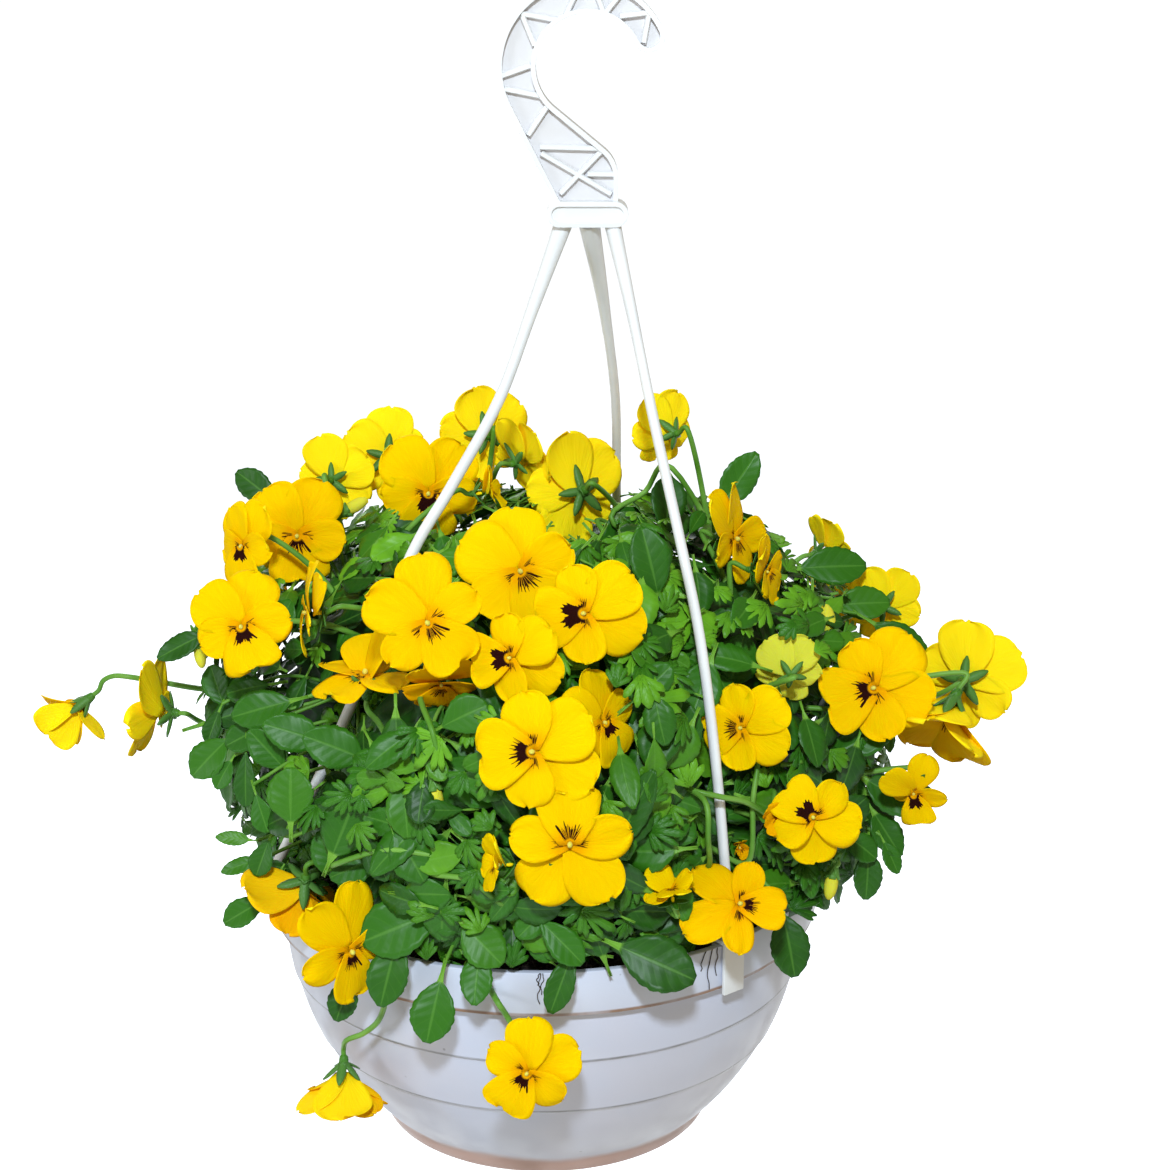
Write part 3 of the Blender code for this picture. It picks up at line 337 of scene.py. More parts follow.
def ownValue(tree, name, kind):
    return shaderNode(tree, "GeometryNodeInputNamedAttribute", {"Name": name}, data_type=kind).outputs[0]


def makeScatterTree():
    # sets a shape from a collection on every point, turned and sized by the point's own values
    tree, entry, leave = newTree("scatterShapes", [
        ("Shapes", "Collection", None), ("Material", "Material", None),
        ("Size jitter", "Float", 0.0), ("Seed", "Int", 1)])
    shapes = shaderNode(tree, "GeometryNodeCollectionInfo", {
        "Collection": entry["Shapes"], "Separate Children": True, "Reset Children": True}).outputs[0]
    low = minus(tree, 1.0, entry["Size jitter"])
    high = plus(tree, 1.0, entry["Size jitter"])
    jitter = shaderNode(tree, "FunctionNodeRandomValue", {
        2: low, 3: high, "Seed": entry["Seed"]}).outputs[1]
    scaled = shaderNode(tree, "ShaderNodeVectorMath", {
        0: ownValue(tree, "size", "FLOAT_VECTOR"), "Scale": jitter}, operation="SCALE").outputs[0]
    placed = shaderNode(tree, "GeometryNodeInstanceOnPoints", {
        "Points": entry["Geometry"], "Instance": shapes, "Pick Instance": True,
        "Instance Index": ownValue(tree, "pick", "INT"), "Rotation": ownValue(tree, "turn", "FLOAT_VECTOR"),
        "Scale": scaled}).outputs[0]
    finishTree(tree, entry, leave, placed)
    return tree


def makeTubeTree():
    # sweeps a round or flattened section along curves, as thick as the curve's radius says
    tree, entry, leave = newTree("sweepTubes", [
        ("Material", "Material", None), ("Sides", "Int", 6), ("Flatness", "Float", 1.0)])
    ring = shaderNode(tree, "GeometryNodeCurvePrimitiveCircle", {
        "Resolution": entry["Sides"], "Radius": 1.0}).outputs[0]
    squeeze = vectorOf(tree, entry["Flatness"], 1.0, 1.0)
    section = shaderNode(tree, "GeometryNodeTransform", {"Geometry": ring, "Scale": squeeze}).outputs[0]
    radius = tree.nodes.new("GeometryNodeInputRadius").outputs[0]
    swept = shaderNode(tree, "GeometryNodeCurveToMesh", {
        "Curve": entry["Geometry"], "Profile Curve": section, "Scale": radius,
        "Fill Caps": True}).outputs[0]
    smooth = shaderNode(tree, "GeometryNodeSetShadeSmooth", {"Geometry": swept}).outputs[0]
    finishTree(tree, entry, leave, smooth)
    return tree


def grown(name, data, tree, values):
    # runs a geometry tree over some data and keeps its result as a plain mesh
    host = linked(name, data)
    modifier = host.modifiers.new(tree.name, "NODES")
    modifier.node_group = tree
    for socket in tree.interface.items_tree:
        if socket.in_out == "INPUT" and socket.name in values:
            modifier[socket.identifier] = values[socket.name]
    return settled(host)


def shapeCollection(name, shapes):
    collection = bpy.data.collections.new(name)
    for index, (points, faces, blade) in enumerate(shapes):
        mesh = meshOf(f"{name}{index:02d}", points, faces, blade=blade)
        mesh.shade_smooth()
        collection.objects.link(bpy.data.objects.new(mesh.name, mesh))
    return collection


def spot(place, turn, pick, size, tone=0.0, blotch=0.0):
    return {"place": place, "turn": turn, "pick": pick, "size": size, "tone": tone, "blotch": blotch}


def spotMesh(name, spots):
    # points that each carry a shape's number, turn, size, tone and blotch
    mesh = meshOf(name, [s["place"] for s in spots], [],
                  turn=[tuple(s["turn"].to_euler()) for s in spots], size=[tuple(s["size"]) for s in spots],
                  tone=[s["tone"] for s in spots], blotch=[s["blotch"] for s in spots])
    mesh.attributes.new("pick", "INT", "POINT").data.foreach_set("value", [s["pick"] for s in spots])
    return mesh


def curveData(name, paths):
    # one poly spline for each path of (points, radii)
    data = bpy.data.curves.new(name, "CURVE")
    data.dimensions = "3D"
    data.twist_mode = "MINIMUM"
    for points, radii in paths:
        spline = data.splines.new("POLY")
        spline.points.add(len(points) - 1)
        for point, place, radius in zip(spline.points, points, radii):
            point.co = (*place, 1)
            point.radius = radius
    return data


scatterTree = makeScatterTree()
tubeTree = makeTubeTree()
print("node trees made")


# finishes

# the third colour is painted shade for the pockets inside the hook
whiteLook = {"plain": colour(0.72, 0.725, 0.745), "bright": colour(0.78, 0.78, 0.795),
             "pocketShade": colour(0.63, 0.61, 0.625), "pocketShadeAbove": 0.388}


def whitePlastic():
    # glossy white moulding, faintly grey and worn, with painted shade in the pockets between the hook's
    # ribs
    material, tree, shader, place = newMaterial("whitePlastic", 0.36, Specular_IOR_Level=0.35)
    cloud = ramp(tree, noise(tree, place, 35.0, 3.0), 0.35, 0.7)
    base = blend(tree, cloud, whiteLook["plain"], whiteLook["bright"])
    _, depth, height = parted(tree, place)
    # painted shade: the thin web inside the hook, between its ribs, is painted darker
    web = ramp(tree, unsigned(tree, depth), 0.0020, 0.0008)
    inHook = ramp(tree, height, whiteLook["pocketShadeAbove"], whiteLook["pocketShadeAbove"] + 0.001)
    base = blend(tree, times(tree, web, inHook), base, whiteLook["pocketShade"])
    paint(tree, shader, base)
    wear(tree, shader, noise(tree, place, 220.0), 0.3, 0.44)
    bump(tree, shader, noise(tree, place, 420.0, 4.0), 0.00005, 0.5)
    return material


# the lip colour is painted light on the lip band
potLook = {"white": colour(0.51, 0.545, 0.685), "warm": colour(0.55, 0.55, 0.65),
           "lip": colour(0.60, 0.64, 0.77), "lipLightFrom": (0.092, 0.0945), "lipLightShare": 0.45,
           "foot": colour(0.40, 0.22, 0.15), "footFrom": (0.016, 0.010), "footShare": 0.85,
           "shadeAndDirtShare": (0.5, 0.95), "speck": colour(0.05, 0.035, 0.025), "speckScale": 95.0,
           # painted shadow and dirt under the lip, and painted shade in the two steps: height and half
           # width in mm, and its colour
           "shadeAndDirt": ((94.1, 1.2, colour(0.22, 0.105, 0.04)), (70.2, 0.9, colour(0.19, 0.19, 0.20)),
                    (43.7, 0.9, colour(0.19, 0.19, 0.20)))}


def potPlastic():
    # lavender white, brownish at the foot, with painted light on the lip, painted shade in the step lines,
    # painted shadow and dirt under the lip, and soil specks
    material, tree, shader, place = newMaterial("potPlastic", 0.42, Specular_IOR_Level=0.35)
    height = parted(tree, place)[2]
    cloud = ramp(tree, noise(tree, place, 14.0, 3.0), 0.3, 0.7)
    base = blend(tree, cloud, potLook["white"], potLook["warm"])
    # painted light: the lip band is painted lighter and bluer than the wall
    lip = ramp(tree, height, *potLook["lipLightFrom"], 0.0, potLook["lipLightShare"])
    base = blend(tree, lip, base, potLook["lip"])
    uneven = times(tree, noise(tree, place, 30.0, 3.0), 0.010)
    foot = ramp(tree, plus(tree, height, uneven), *potLook["footFrom"])
    base = blend(tree, times(tree, foot, potLook["footShare"]), base, potLook["foot"])
    patchy = ramp(tree, noise(tree, place, 60.0, 4.0), 0.30, 0.62, *potLook["shadeAndDirtShare"])
    # painted shade in the step lines, and painted shadow with dirt under the lip
    for line, width, look in potLook["shadeAndDirt"]:
        off = unsigned(tree, minus(tree, height, line * mm))
        near = ramp(tree, off, width * mm, 0.3 * width * mm)
        base = blend(tree, times(tree, near, patchy), base, look)
    cells = shaderNode(tree, "ShaderNodeTexVoronoi", {
        "Vector": place, "Scale": potLook["speckScale"], "Randomness": 1.0})
    small = ramp(tree, cells.outputs["Distance"], 0.085, 0.035)
    rare = ramp(tree, noise(tree, place, 40.0, 1.0), 0.56, 0.62)
    upper = ramp(tree, height, 0.060, 0.100, 0.25, 1.0)
    base = blend(tree, times(tree, small, rare, upper), base, potLook["speck"])
    paint(tree, shader, base)
    wear(tree, shader, noise(tree, place, 80.0, 3.0), 0.34, 0.5)
    bump(tree, shader, noise(tree, place, 300.0, 4.0), 0.00006, 0.5)
    return material


soilLook = {"dark": colour(0.012, 0.009, 0.008), "light": colour(0.075, 0.050, 0.036)}


def peatSoil():
    material, tree, shader, place = newMaterial("peatSoil", 0.95)
    grain = noise(tree, place, 400.0, 5.0)
    paint(tree, shader, blend(tree, ramp(tree, grain, 0.35, 0.7), soilLook["dark"], soilLook["light"]))
    bump(tree, shader, grain, 0.0008)
    return material


# deep is the darkest tone; leaves deep in the mound and the inner mass take it as painted shade
leafLook = {"deep": colour(0.007, 0.040, 0.004), "mid": colour(0.025, 0.126, 0.005),
            "fresh": colour(0.125, 0.34, 0.012), "vein": colour(0.12, 0.31, 0.04),
            "under": colour(0.10, 0.23, 0.05), "stem": colour(0.14, 0.32, 0.03),
            "midribShare": 0.30, "ribShare": 0.06, "underShare": 0.6, "ribs": 6.0}


def leafGreen():
    # "blade" gives across, along and side; "tone" says how fresh the leaf is, with painted shade lowering
    # it deep in the mound and painted light raising it higher up
    material, tree, shader, place = newMaterial("leafGreen", 0.40, Specular_IOR_Level=0.19)
    across, along, side = readVector(tree, "blade")
    tone = readNumber(tree, "tone")
    base = blend(tree, ramp(tree, tone, 0.0, 0.5), leafLook["deep"], leafLook["mid"])
    base = blend(tree, ramp(tree, tone, 0.5, 1.0), base, leafLook["fresh"])
    mottle = ramp(tree, noise(tree, place, 150.0, 3.0), 0.35, 0.7, 0.0, 0.3)
    base = blend(tree, mottle, base, leafLook["mid"])
    off = unsigned(tree, across)
    midrib = ramp(tree, off, 0.10, 0.02)
    slope = minus(tree, times(tree, along, leafLook["ribs"]), times(tree, off, 1.5))
    wave = unsigned(tree, minus(tree, sums(tree, "FRACT", slope), 0.5))
    ribs = times(tree, ramp(tree, wave, 0.09, 0.02), leafLook["ribShare"])
    veins = sums(tree, "MAXIMUM", times(tree, midrib, leafLook["midribShare"]), ribs)
    base = blend(tree, veins, base, leafLook["vein"])
    under = times(tree, ramp(tree, side, 0.2, -0.2), leafLook["underShare"])
    base = blend(tree, under, base, leafLook["under"])
    base = blend(tree, ramp(tree, along, 0.04, -0.04), base, leafLook["stem"])
    paint(tree, shader, base)
    bump(tree, shader, minus(tree, wave, times(tree, midrib, 0.6)), 0.0004, 0.25)
    return material


stemLook = {"green": colour(0.070, 0.215, 0.015), "fresh": colour(0.16, 0.35, 0.05)}


def stemGreen():
    material, tree, shader, place = newMaterial("stemGreen", 0.45, Specular_IOR_Level=0.25)
    cloud = ramp(tree, noise(tree, place, 60.0), 0.3, 0.7)
    paint(tree, shader, blend(tree, cloud, stemLook["green"], stemLook["fresh"]))
    return material


# under, the colour of a petal's back, is brighter than the face as painted light through the petal
petalLook = {"lemon": colour(0.83, 0.535, 0.0), "golden": colour(0.81, 0.430, 0.0),
             "under": colour(1.0, 0.715, 0.008), "orange": colour(0.80, 0.33, 0.0),
             "pale": colour(0.64, 0.62, 0.05), "glow": colour(0.72, 0.22, 0.0),
             "maroon": colour(0.020, 0.004, 0.003), "style": colour(0.66, 0.60, 0.10),
             "backLightShare": 0.92, "orangeShare": 0.8, "glowShare": 0.50}
# the eye's marks, in petal lengths and radians: whiskers and fan have a second value that is added on the
# lower petal, and the blotch reaches from its first value to its second
eyeMarks = {"whisker": (0.30, 0.09), "fan": (0.52, 0.34), "lobe": 0.36, "blotch": (0.41, 0.52)}


def petalMarks(tree, angle, away, kind, tone):
    # short whiskers fan out from the eye on the side and lower petals, and a blotch has two lobes below it
    off = unsigned(tree, angle)
    lower = ramp(tree, kind, 1.4, 1.6)
    sides = times(tree, ramp(tree, kind, 0.4, 0.6), ramp(tree, kind, 2.6, 2.4))
    uneven = noise(tree, vectorOf(tree, times(tree, angle, 8.0), tone, times(tree, kind, 3.1)), 1.0, 2.0)
    fan = plus(tree, eyeMarks["fan"][0], times(tree, lower, eyeMarks["fan"][1]))
    fade = ramp(tree, sums(tree, "DIVIDE", off, fan), 0.75, 1.25, 1.0, 0.0)
    length = plus(tree, eyeMarks["whisker"][0], times(tree, lower, eyeMarks["whisker"][1]))
    reach = times(tree, length, fade, ramp(tree, uneven, 0.35, 0.65, 0.70, 1.15))
    fine = vectorOf(tree, times(tree, angle, 17.0), tone)
    gaps = ramp(tree, noise(tree, fine, 1.0, 0.0), 0.55, 0.63)
    whisker = ramp(tree, minus(tree, reach, away), -0.006, 0.010)
    whisker = times(tree, whisker, minus(tree, 1.0, times(tree, gaps, 0.92)))
    lobes = ramp(tree, unsigned(tree, minus(tree, off, eyeMarks["lobe"])), 0.62, 0.10, 0.42, 1.0)
    solid = times(tree, lobes, ramp(tree, uneven, 0.3, 0.7, *eyeMarks["blotch"]))
    solid = times(tree, solid, times(tree, lower, readNumber(tree, "blotch")))
    patch = ramp(tree, minus(tree, solid, away), -0.006, 0.010)
    marked = times(tree, sums(tree, "MAXIMUM", whisker, patch), sides, ramp(tree, away, 0.09, 0.14))
    halo = times(tree, ramp(tree, away, 0.46, 0.16), sides)
    return marked, halo


def petalYellow():
    # "blade" gives the place on the petal, across and along in its lengths, and the kind of petal:
    # 0 upper, 1 side, 2 lower, 3 style, -1 back
    material, tree, shader, _ = newMaterial(
        "petalYellow", 0.6, Specular_IOR_Level=0.01, Subsurface_Weight=0.35, Subsurface_Scale=0.0006,
        Subsurface_Radius=(1.0, 0.6, 0.04))
    across, along, kind = readVector(tree, "blade")
    tone = readNumber(tree, "tone")
    angle = sums(tree, "ARCTAN2", across, along)
    away = sums(tree, "SQRT", plus(tree, times(tree, across, across), times(tree, along, along)))
    streak = noise(tree, vectorOf(tree, times(tree, angle, 11.0), times(tree, away, 1.4), tone), 1.6, 3.0)
    inner = ramp(tree, away, 0.85, 0.15, 0.0, 0.28)
    deep = plus(tree, times(tree, tone, 0.75), ramp(tree, streak, 0.3, 0.75, -0.10, 0.16))
    base = blend(tree, sums(tree, "ADD", deep, inner, True), petalLook["lemon"], petalLook["golden"])
    # painted light: the back of a petal is painted brighter than its face, standing in for light through
    # the petal
    back = times(tree, ramp(tree, kind, -0.2, -0.8), petalLook["backLightShare"])
    base = blend(tree, back, base, petalLook["under"])
    warm = ramp(tree, tone, 1.05, 1.30, 0.0, petalLook["orangeShare"])
    base = blend(tree, warm, base, petalLook["orange"])
    base = blend(tree, ramp(tree, tone, 1.4, 1.9), base, petalLook["pale"])
    marked, halo = petalMarks(tree, angle, away, kind, tone)
    base = blend(tree, times(tree, halo, petalLook["glowShare"]), base, petalLook["glow"])
    base = blend(tree, marked, base, petalLook["maroon"])
    base = blend(tree, ramp(tree, kind, 2.6, 2.8), base, petalLook["style"])
    paint(tree, shader, base)
    bump(tree, shader, streak, 0.0005, 0.5)
    return material


finishes = {"white": whitePlastic(), "pot": potPlastic(), "soil": peatSoil(), "leaf": leafGreen(),
            "stem": stemGreen(), "petal": petalYellow()}
print("finishes made")


# pot: a bowl whose wall is an arc, with a proud lip, two small steps and a low foot
pot = {"height": 112, "rim": 115.5, "rimThickness": 3, "lipHeight": 18.5, "lipProud": 3.5, "lipTaper": 0.4,
       "wall": 2, "arcRadius": 124, "arcOffset": 13.5, "arcHeight": 94, "steps": (70, 43.5),
       "stepDepth": 0.8, "foot": 70, "footHeight": 5, "footEdge": 3, "underside": 1.2, "floor": 6.5,
       "floorRound": 8, "insideFrom": 14, "edge": 0.35, "turns": 180}


def wallRadius(height):
    rise = pot["arcHeight"] - height
    radius = math.sqrt(pot["arcRadius"] ** 2 - rise ** 2) - pot["arcOffset"]
    return radius - pot["stepDepth"] * sum(height < step for step in pot["steps"])


def turnedPiece(name, profile, steps, material, bevel=0.0):
    mesh = bpy.data.meshes.new(name)
    along = [(i, i + 1) for i in range(len(profile) - 1)]
    mesh.from_pydata([(r * mm, 0, z * mm) for r, z in profile], along, [])
    piece = linked(name, mesh)
    screw = piece.modifiers.new("Screw", "SCREW")
    screw.steps = screw.render_steps = steps
    screw.use_merge_vertices = True
    screw.merge_threshold = 0.00001
    if bevel:
        addBevel(piece, bevel, 2, 35)
    piece = settled(piece)
    faceOut(piece.data)
    soften(piece, 50)
    piece.data.materials.append(material)
    return piece


def makePot():
    rim, bottom, foot = pot["rim"], pot["height"] - pot["lipHeight"], pot["foot"]
    floorRadius = wallRadius(pot["floor"]) - pot["wall"] - pot["floorRound"]
    profile = [(0, pot["floor"]), (floorRadius, pot["floor"])]
    profile += [(wallRadius(z) - pot["wall"], z) for z in np.linspace(pot["insideFrom"], bottom, 12)]
    profile += [(rim - pot["rimThickness"], pot["height"]), (rim, pot["height"]),
                (rim - pot["lipTaper"], bottom), (rim - pot["lipProud"], bottom - pot["lipTaper"])]
    top = bottom - 1.5
    for step in pot["steps"]:
        # the wall comes down its arc to a small ledge and starts again under it
        profile += [(wallRadius(z), z) for z in np.linspace(top, step + 0.9, 7)]
        profile += [(wallRadius(step + 0.1) + 0.05, step + 0.05), (wallRadius(step - 0.7), step - 0.75)]
        top = step - 2.5
    profile += [(wallRadius(z), z) for z in np.linspace(top, pot["footHeight"] + 0.6, 9)]
    profile += [(foot + 1.5, pot["footHeight"] - 1), (foot, 0), (foot - pot["footEdge"], 0),
                (foot - pot["footEdge"] - 1, pot["underside"]), (0, pot["underside"])]
    return turnedPiece("potShell", profile, pot["turns"], finishes["pot"], pot["edge"])


addPiece(makePot(), "pot_plastic", "pot")


# soil: a crumbly bed just under the rim
soil = {"top": 105, "seed": 5, "turns": 96, "crumbs": 2600, "crumb": (0.7, 2.3), "shapes": 5,
        "relief": 1.6, "under": 0.6}


def shapeOf(made):
    # points and faces of a bmesh, marked with zeros, ready for a collection of shapes
    made.verts.index_update()
    points = [tuple(v.co) for v in made.verts]
    faces = [tuple(v.index for v in f.verts) for f in made.faces]
    made.free()
    return points, faces, [(0, 0, 0)] * len(points)


def crumbShape(draw):
    made = bmesh.new()
    bmesh.ops.create_icosphere(made, subdivisions=1, radius=1.0)
    for vert in made.verts:
        vert.co *= draw.uniform(0.65, 1.1)
    return shapeOf(made)


def makeSoil():
    draw = random.Random(soil["seed"])
    floor = pot["floor"] + 0.6
    clear = pot["wall"] + 0.6
    bottom = pot["height"] - pot["lipHeight"]
    edge = wallRadius(bottom) - clear
    bedTop = soil["top"] - soil["under"]
    profile = [(r, bedTop) for r in np.linspace(0, edge - 6, 24)] + [(edge, bottom)]
    profile += [(wallRadius(z) - clear, z) for z in (60, 16)]
    profile += [(wallRadius(floor) - clear - 9, floor), (0, floor)]
    bed = turnedPiece("soilBed", profile, soil["turns"], finishes["soil"])
    for vert in bed.data.vertices:
        if vert.co.z > (soil["top"] - 2) * mm and vert.co.xy.length > 1 * mm:
            vert.co.z += draw.uniform(-1, 0.6) * soil["relief"] * mm
    spots = []
    for _ in range(soil["crumbs"]):
        reach = math.sqrt(draw.random()) * (edge - 4)
        place = radial(draw.uniform(0, 360)) * reach * mm + Vector((0, 0, bedTop * mm))
        size = draw.uniform(*soil["crumb"]) * mm
        turn = Matrix.Rotation(draw.uniform(0, 6.28), 3, Vector((draw.random(), draw.random(), 1)))
        spots.append(spot(place, turn, draw.randrange(soil["shapes"]),
                          (size * draw.uniform(0.6, 1.8), size, size * 0.6)))
    drawShape = random.Random(soil["seed"])
    shapes = shapeCollection("crumb", [crumbShape(drawShape) for _ in range(soil["shapes"])])
    crumbs = grown("soilCrumbs", spotMesh("crumbSpots", spots), scatterTree, {
        "Shapes": shapes, "Material": finishes["soil"], "Size jitter": 0.2, "Seed": soil["seed"]})
    addPiece(bed, "soil", "soil")
    addPiece(crumbs, "soil")


makeSoil()
print("pot and soil made")


# hanger: a flat S hook with a raised border and slanting ribs, a crossbar, three straps and three clips
hook = {"x": 18, "top": 389, "depth": 8, "border": 1.9, "web": 1.8, "rib": 2.3, "ribDepth": 6.2,
        "edge": 0.6, "inner": 20, "outer": 33.7, "rise": 51.5,
        # both ends of each rib, across and up from the hook's foot
        "ribs": (((-25.4, 71.4), (-12.0, 69.0)), ((-25.0, 70.6), (-20.4, 59.5)),
                 ((-33.0, 48.0), (-22.0, 51.8)), ((-32.0, 43.0), (-17.7, 40.2)),
                 ((-15.2, 37.0), (-23.0, 25.4)), ((-18.4, 20.8), (4.6, 20.2)),
                 ((-18.0, 18.4), (9.2, 2.6)), ((5.2, 19.0), (-10.6, 2.8)), ((0.0, 10.4), (11.2, 10.2)),
                 ((-8.4, 71.0), (-4.4, 79.0)), ((6.2, 71.6), (3.4, 79.0)), ((6.6, 71.4), (12.8, 79.0)),
                 ((12.4, 70.4), (24.0, 71.8)), ((23.6, 71.8), (21.6, 60.6)))}
crossbar = {"z": 384, "width": 32, "height": 10, "depth": 12, "border": 1.9, "dish": 1.3, "edge": 0.7}
straps = {"azimuths": (40, 160, 280), "radius": 2.3, "topRadius": (3.8, 5.0, 3.8), "head": 9,
          "flatness": 0.86, "sides": 16,
          "routes": (((27.5, 0, 381), (35, -18, 349), (43.5, -40, 310), (54, -62, 265), (61, -75, 232),
                      (67, -84, 187), (71.5, -86, 141)),
                     ((18.5, 0, 381), (25, 30, 340), (30, 55, 296), (31, 80, 243), (33, 96, 194),
                      (36, 104, 142)),
                     ((9, 0, 381), (-4, -4, 346), (-17, -13, 312), (-36, -24, 279), (-52, -34, 253),
                      (-72, -41, 204), (-92, -36, 158)))}
clips = {"width": 10.5, "thickness": 1.8, "outer": 21, "inner": 8, "slant": 0.24, "edge": 0.5, "gap": 0.3}


def arc(cx, cz, radius, start, end, steps):
    turns = [math.radians(start + (end - start) * i / steps) for i in range(steps + 1)]
    return [(cx + radius * math.cos(a), cz + radius * math.sin(a)) for a in turns]


def hookOutline(inset):
    points = [(12 - inset, -2)]
    points += arc(-2.5, 9, 14.5 - inset, 0, 50, 8)
    points += arc(0, hook["rise"], hook["inner"] + inset, 229, 26, 40)
    points += arc(23.6, 63, 6.2 - inset, 206, 386, 16)
    points += arc(-1.2, hook["rise"] - 0.5, hook["outer"] - inset, 31, 205, 40)
    return points + [(-11.8 + inset, -2)]


def flatShape(name, outline, depth, place=(0, 0, 0), azimuth=0.0):
    # upright plate of the given depth, its outline told across and up
    curve = bpy.data.curves.new(name, "CURVE")
    curve.dimensions = "2D"
    curve.fill_mode = "BOTH"
    curve.extrude = depth / 2 * mm
    spline = curve.splines.new("POLY")
    spline.points.add(len(outline) - 1)
    for point, (x, z) in zip(spline.points, outline):
        point.co = (x * mm, z * mm, 0, 1)
    spline.use_cyclic_u = True
    guide = linked(name, curve)
    upright = Matrix.Rotation(math.pi / 2, 4, "X")
    turned = Matrix.Rotation(math.radians(azimuth), 4, "Z")
    guide.matrix_world = Matrix.Translation(Vector(place) * mm) @ turned @ upright
    piece = settled(guide)
    faceOut(piece.data)
    return piece


def joined(name, pieces):
    target = pieces[0]
    shape = bmesh.new()
    for piece in pieces:
        shape.from_mesh(piece.data)
    shape.to_mesh(target.data)
    shape.free()
    for piece in pieces[1:]:
        bpy.data.objects.remove(piece, do_unlink=True)
    target.name = name
    return target


def hangerPiece(name, pieces, degrees):
    whole = joined(name, pieces)
    soften(whole, degrees)
    whole.data.materials.clear()
    whole.data.materials.append(finishes["white"])
    return whole


def ribShape():
    # a bar one unit long with rounded long edges, to be stretched between two ends
    made = bmesh.new()
    bmesh.ops.create_cube(made, size=1.0)
    long = [e for e in made.edges if abs(e.verts[0].co.x - e.verts[1].co.x) > 0.5]
    bmesh.ops.bevel(made, geom=long, offset=0.22, segments=2, affect="EDGES", profile=0.5)
    return shapeOf(made)


def pill(radius):
    reach = (crossbar["width"] - crossbar["height"]) / 2
    return arc(reach, 0, radius, -90, 90, 12) + arc(-reach, 0, radius, 90, 270, 12)


def makeCrossbar():
    # a pill with a shallow dish in its front and its back
    radius, x, z = crossbar["height"] / 2, hook["x"], crossbar["z"]
    bar = flatShape("bar", pill(radius), crossbar["depth"], (x, 0, z))
    for side in (-1, 1):
        dish = flatShape("dish", pill(radius - crossbar["border"]), 2 * crossbar["dish"],
                         (x, side * crossbar["depth"] / 2, z))
        addCut(bar, dish)
        bar = settled(bar)
        bpy.data.objects.remove(dish, do_unlink=True)
    addBevel(bar, crossbar["edge"], 3, 50)
    return settled(bar)


def makeRibs():
    spots = []
    for number, ((ax, az), (bx, bz)) in enumerate(hook["ribs"]):
        run = Vector((bx - ax, 0, bz - az))
        middle = Vector((hook["x"] + (ax + bx) / 2, 0, hook["top"] + (az + bz) / 2))
        turn = Matrix.Rotation(-math.atan2(run.z, run.x), 3, "Y")
        depth = hook["ribDepth"] + 0.07 * number     # crossing ribs don't share a face
        spots.append(spot(middle * mm, turn, 0, (run.length * mm, depth * mm, hook["rib"] * mm)))
    return grown("ribs", spotMesh("ribSpots", spots), scatterTree, {
        "Shapes": shapeCollection("rib", [ribShape()]), "Material": finishes["white"]})


def makeHook():
    place = (hook["x"], 0, hook["top"])
    web = flatShape("web", hookOutline(0.6), hook["web"], place)
    rim = flatShape("rim", hookOutline(0), hook["depth"], place)
    hole = flatShape("hole", hookOutline(hook["border"]), hook["depth"] + 2, place)
    addCut(rim, hole)
    addBevel(rim, hook["edge"], 3, 50)
    rim = settled(rim)
    bpy.data.objects.remove(hole, do_unlink=True)
    return hangerPiece("hangerHook", [rim, web, makeRibs(), makeCrossbar()], 35)


def strapPath(index):
    angle = math.radians(straps["azimuths"][index])
    reach = pot["rim"] - pot["rimThickness"] / 2
    end = Vector((math.sin(angle) * reach, -math.cos(angle) * reach, pot["height"] + 1.9))
    points = [Vector(p) for p in straps["routes"][index]] + [end]
    return [p * mm for p in smoothPath(points, 6)]


def makeStraps():
    paths = []
    for index, topRadius in enumerate(straps["topRadius"]):
        path = strapPath(index)
        swell = topRadius - straps["radius"]     # each strap thickens towards the crossbar
        radii = [(straps["radius"] + swell * max(0, 1 - i / straps["head"]) ** 1.5) * mm
                 for i in range(len(path))]
        paths.append((path, radii))
    return grown("hangerStraps", curveData("strapRoutes", paths), tubeTree, {
        "Material": finishes["white"], "Sides": straps["sides"], "Flatness": straps["flatness"]})


def makeClips():
    # hooks of sheet that straddle the rim under each strap
    outer = pot["rim"] + clips["gap"]
    inner = pot["rim"] - pot["rimThickness"] - 0.5
    top = pot["height"] + clips["gap"]
    thick = clips["thickness"]
    slant = clips["inner"] * clips["slant"]
    innerEnd, outerEnd = top - clips["inner"], top - clips["outer"]
    outline = [(inner - slant, innerEnd), (inner, top), (outer, top), (outer, outerEnd),
               (outer + thick, outerEnd), (outer + thick, top + thick), (inner - thick, top + thick),
               (inner - thick - slant, innerEnd)]
    made = []
    for azimuth in straps["azimuths"]:
        clip = flatShape("clip", outline, clips["width"], azimuth=azimuth - 90)
        addBevel(clip, clips["edge"], 2, 30)
        made.append(settled(clip))
    return hangerPiece("hangerClips", made, 40)


addPiece(makeHook(), "white_plastic", "hanger")
addPiece(makeStraps(), "white_plastic")
addPiece(makeClips(), "white_plastic")
print("hanger made")


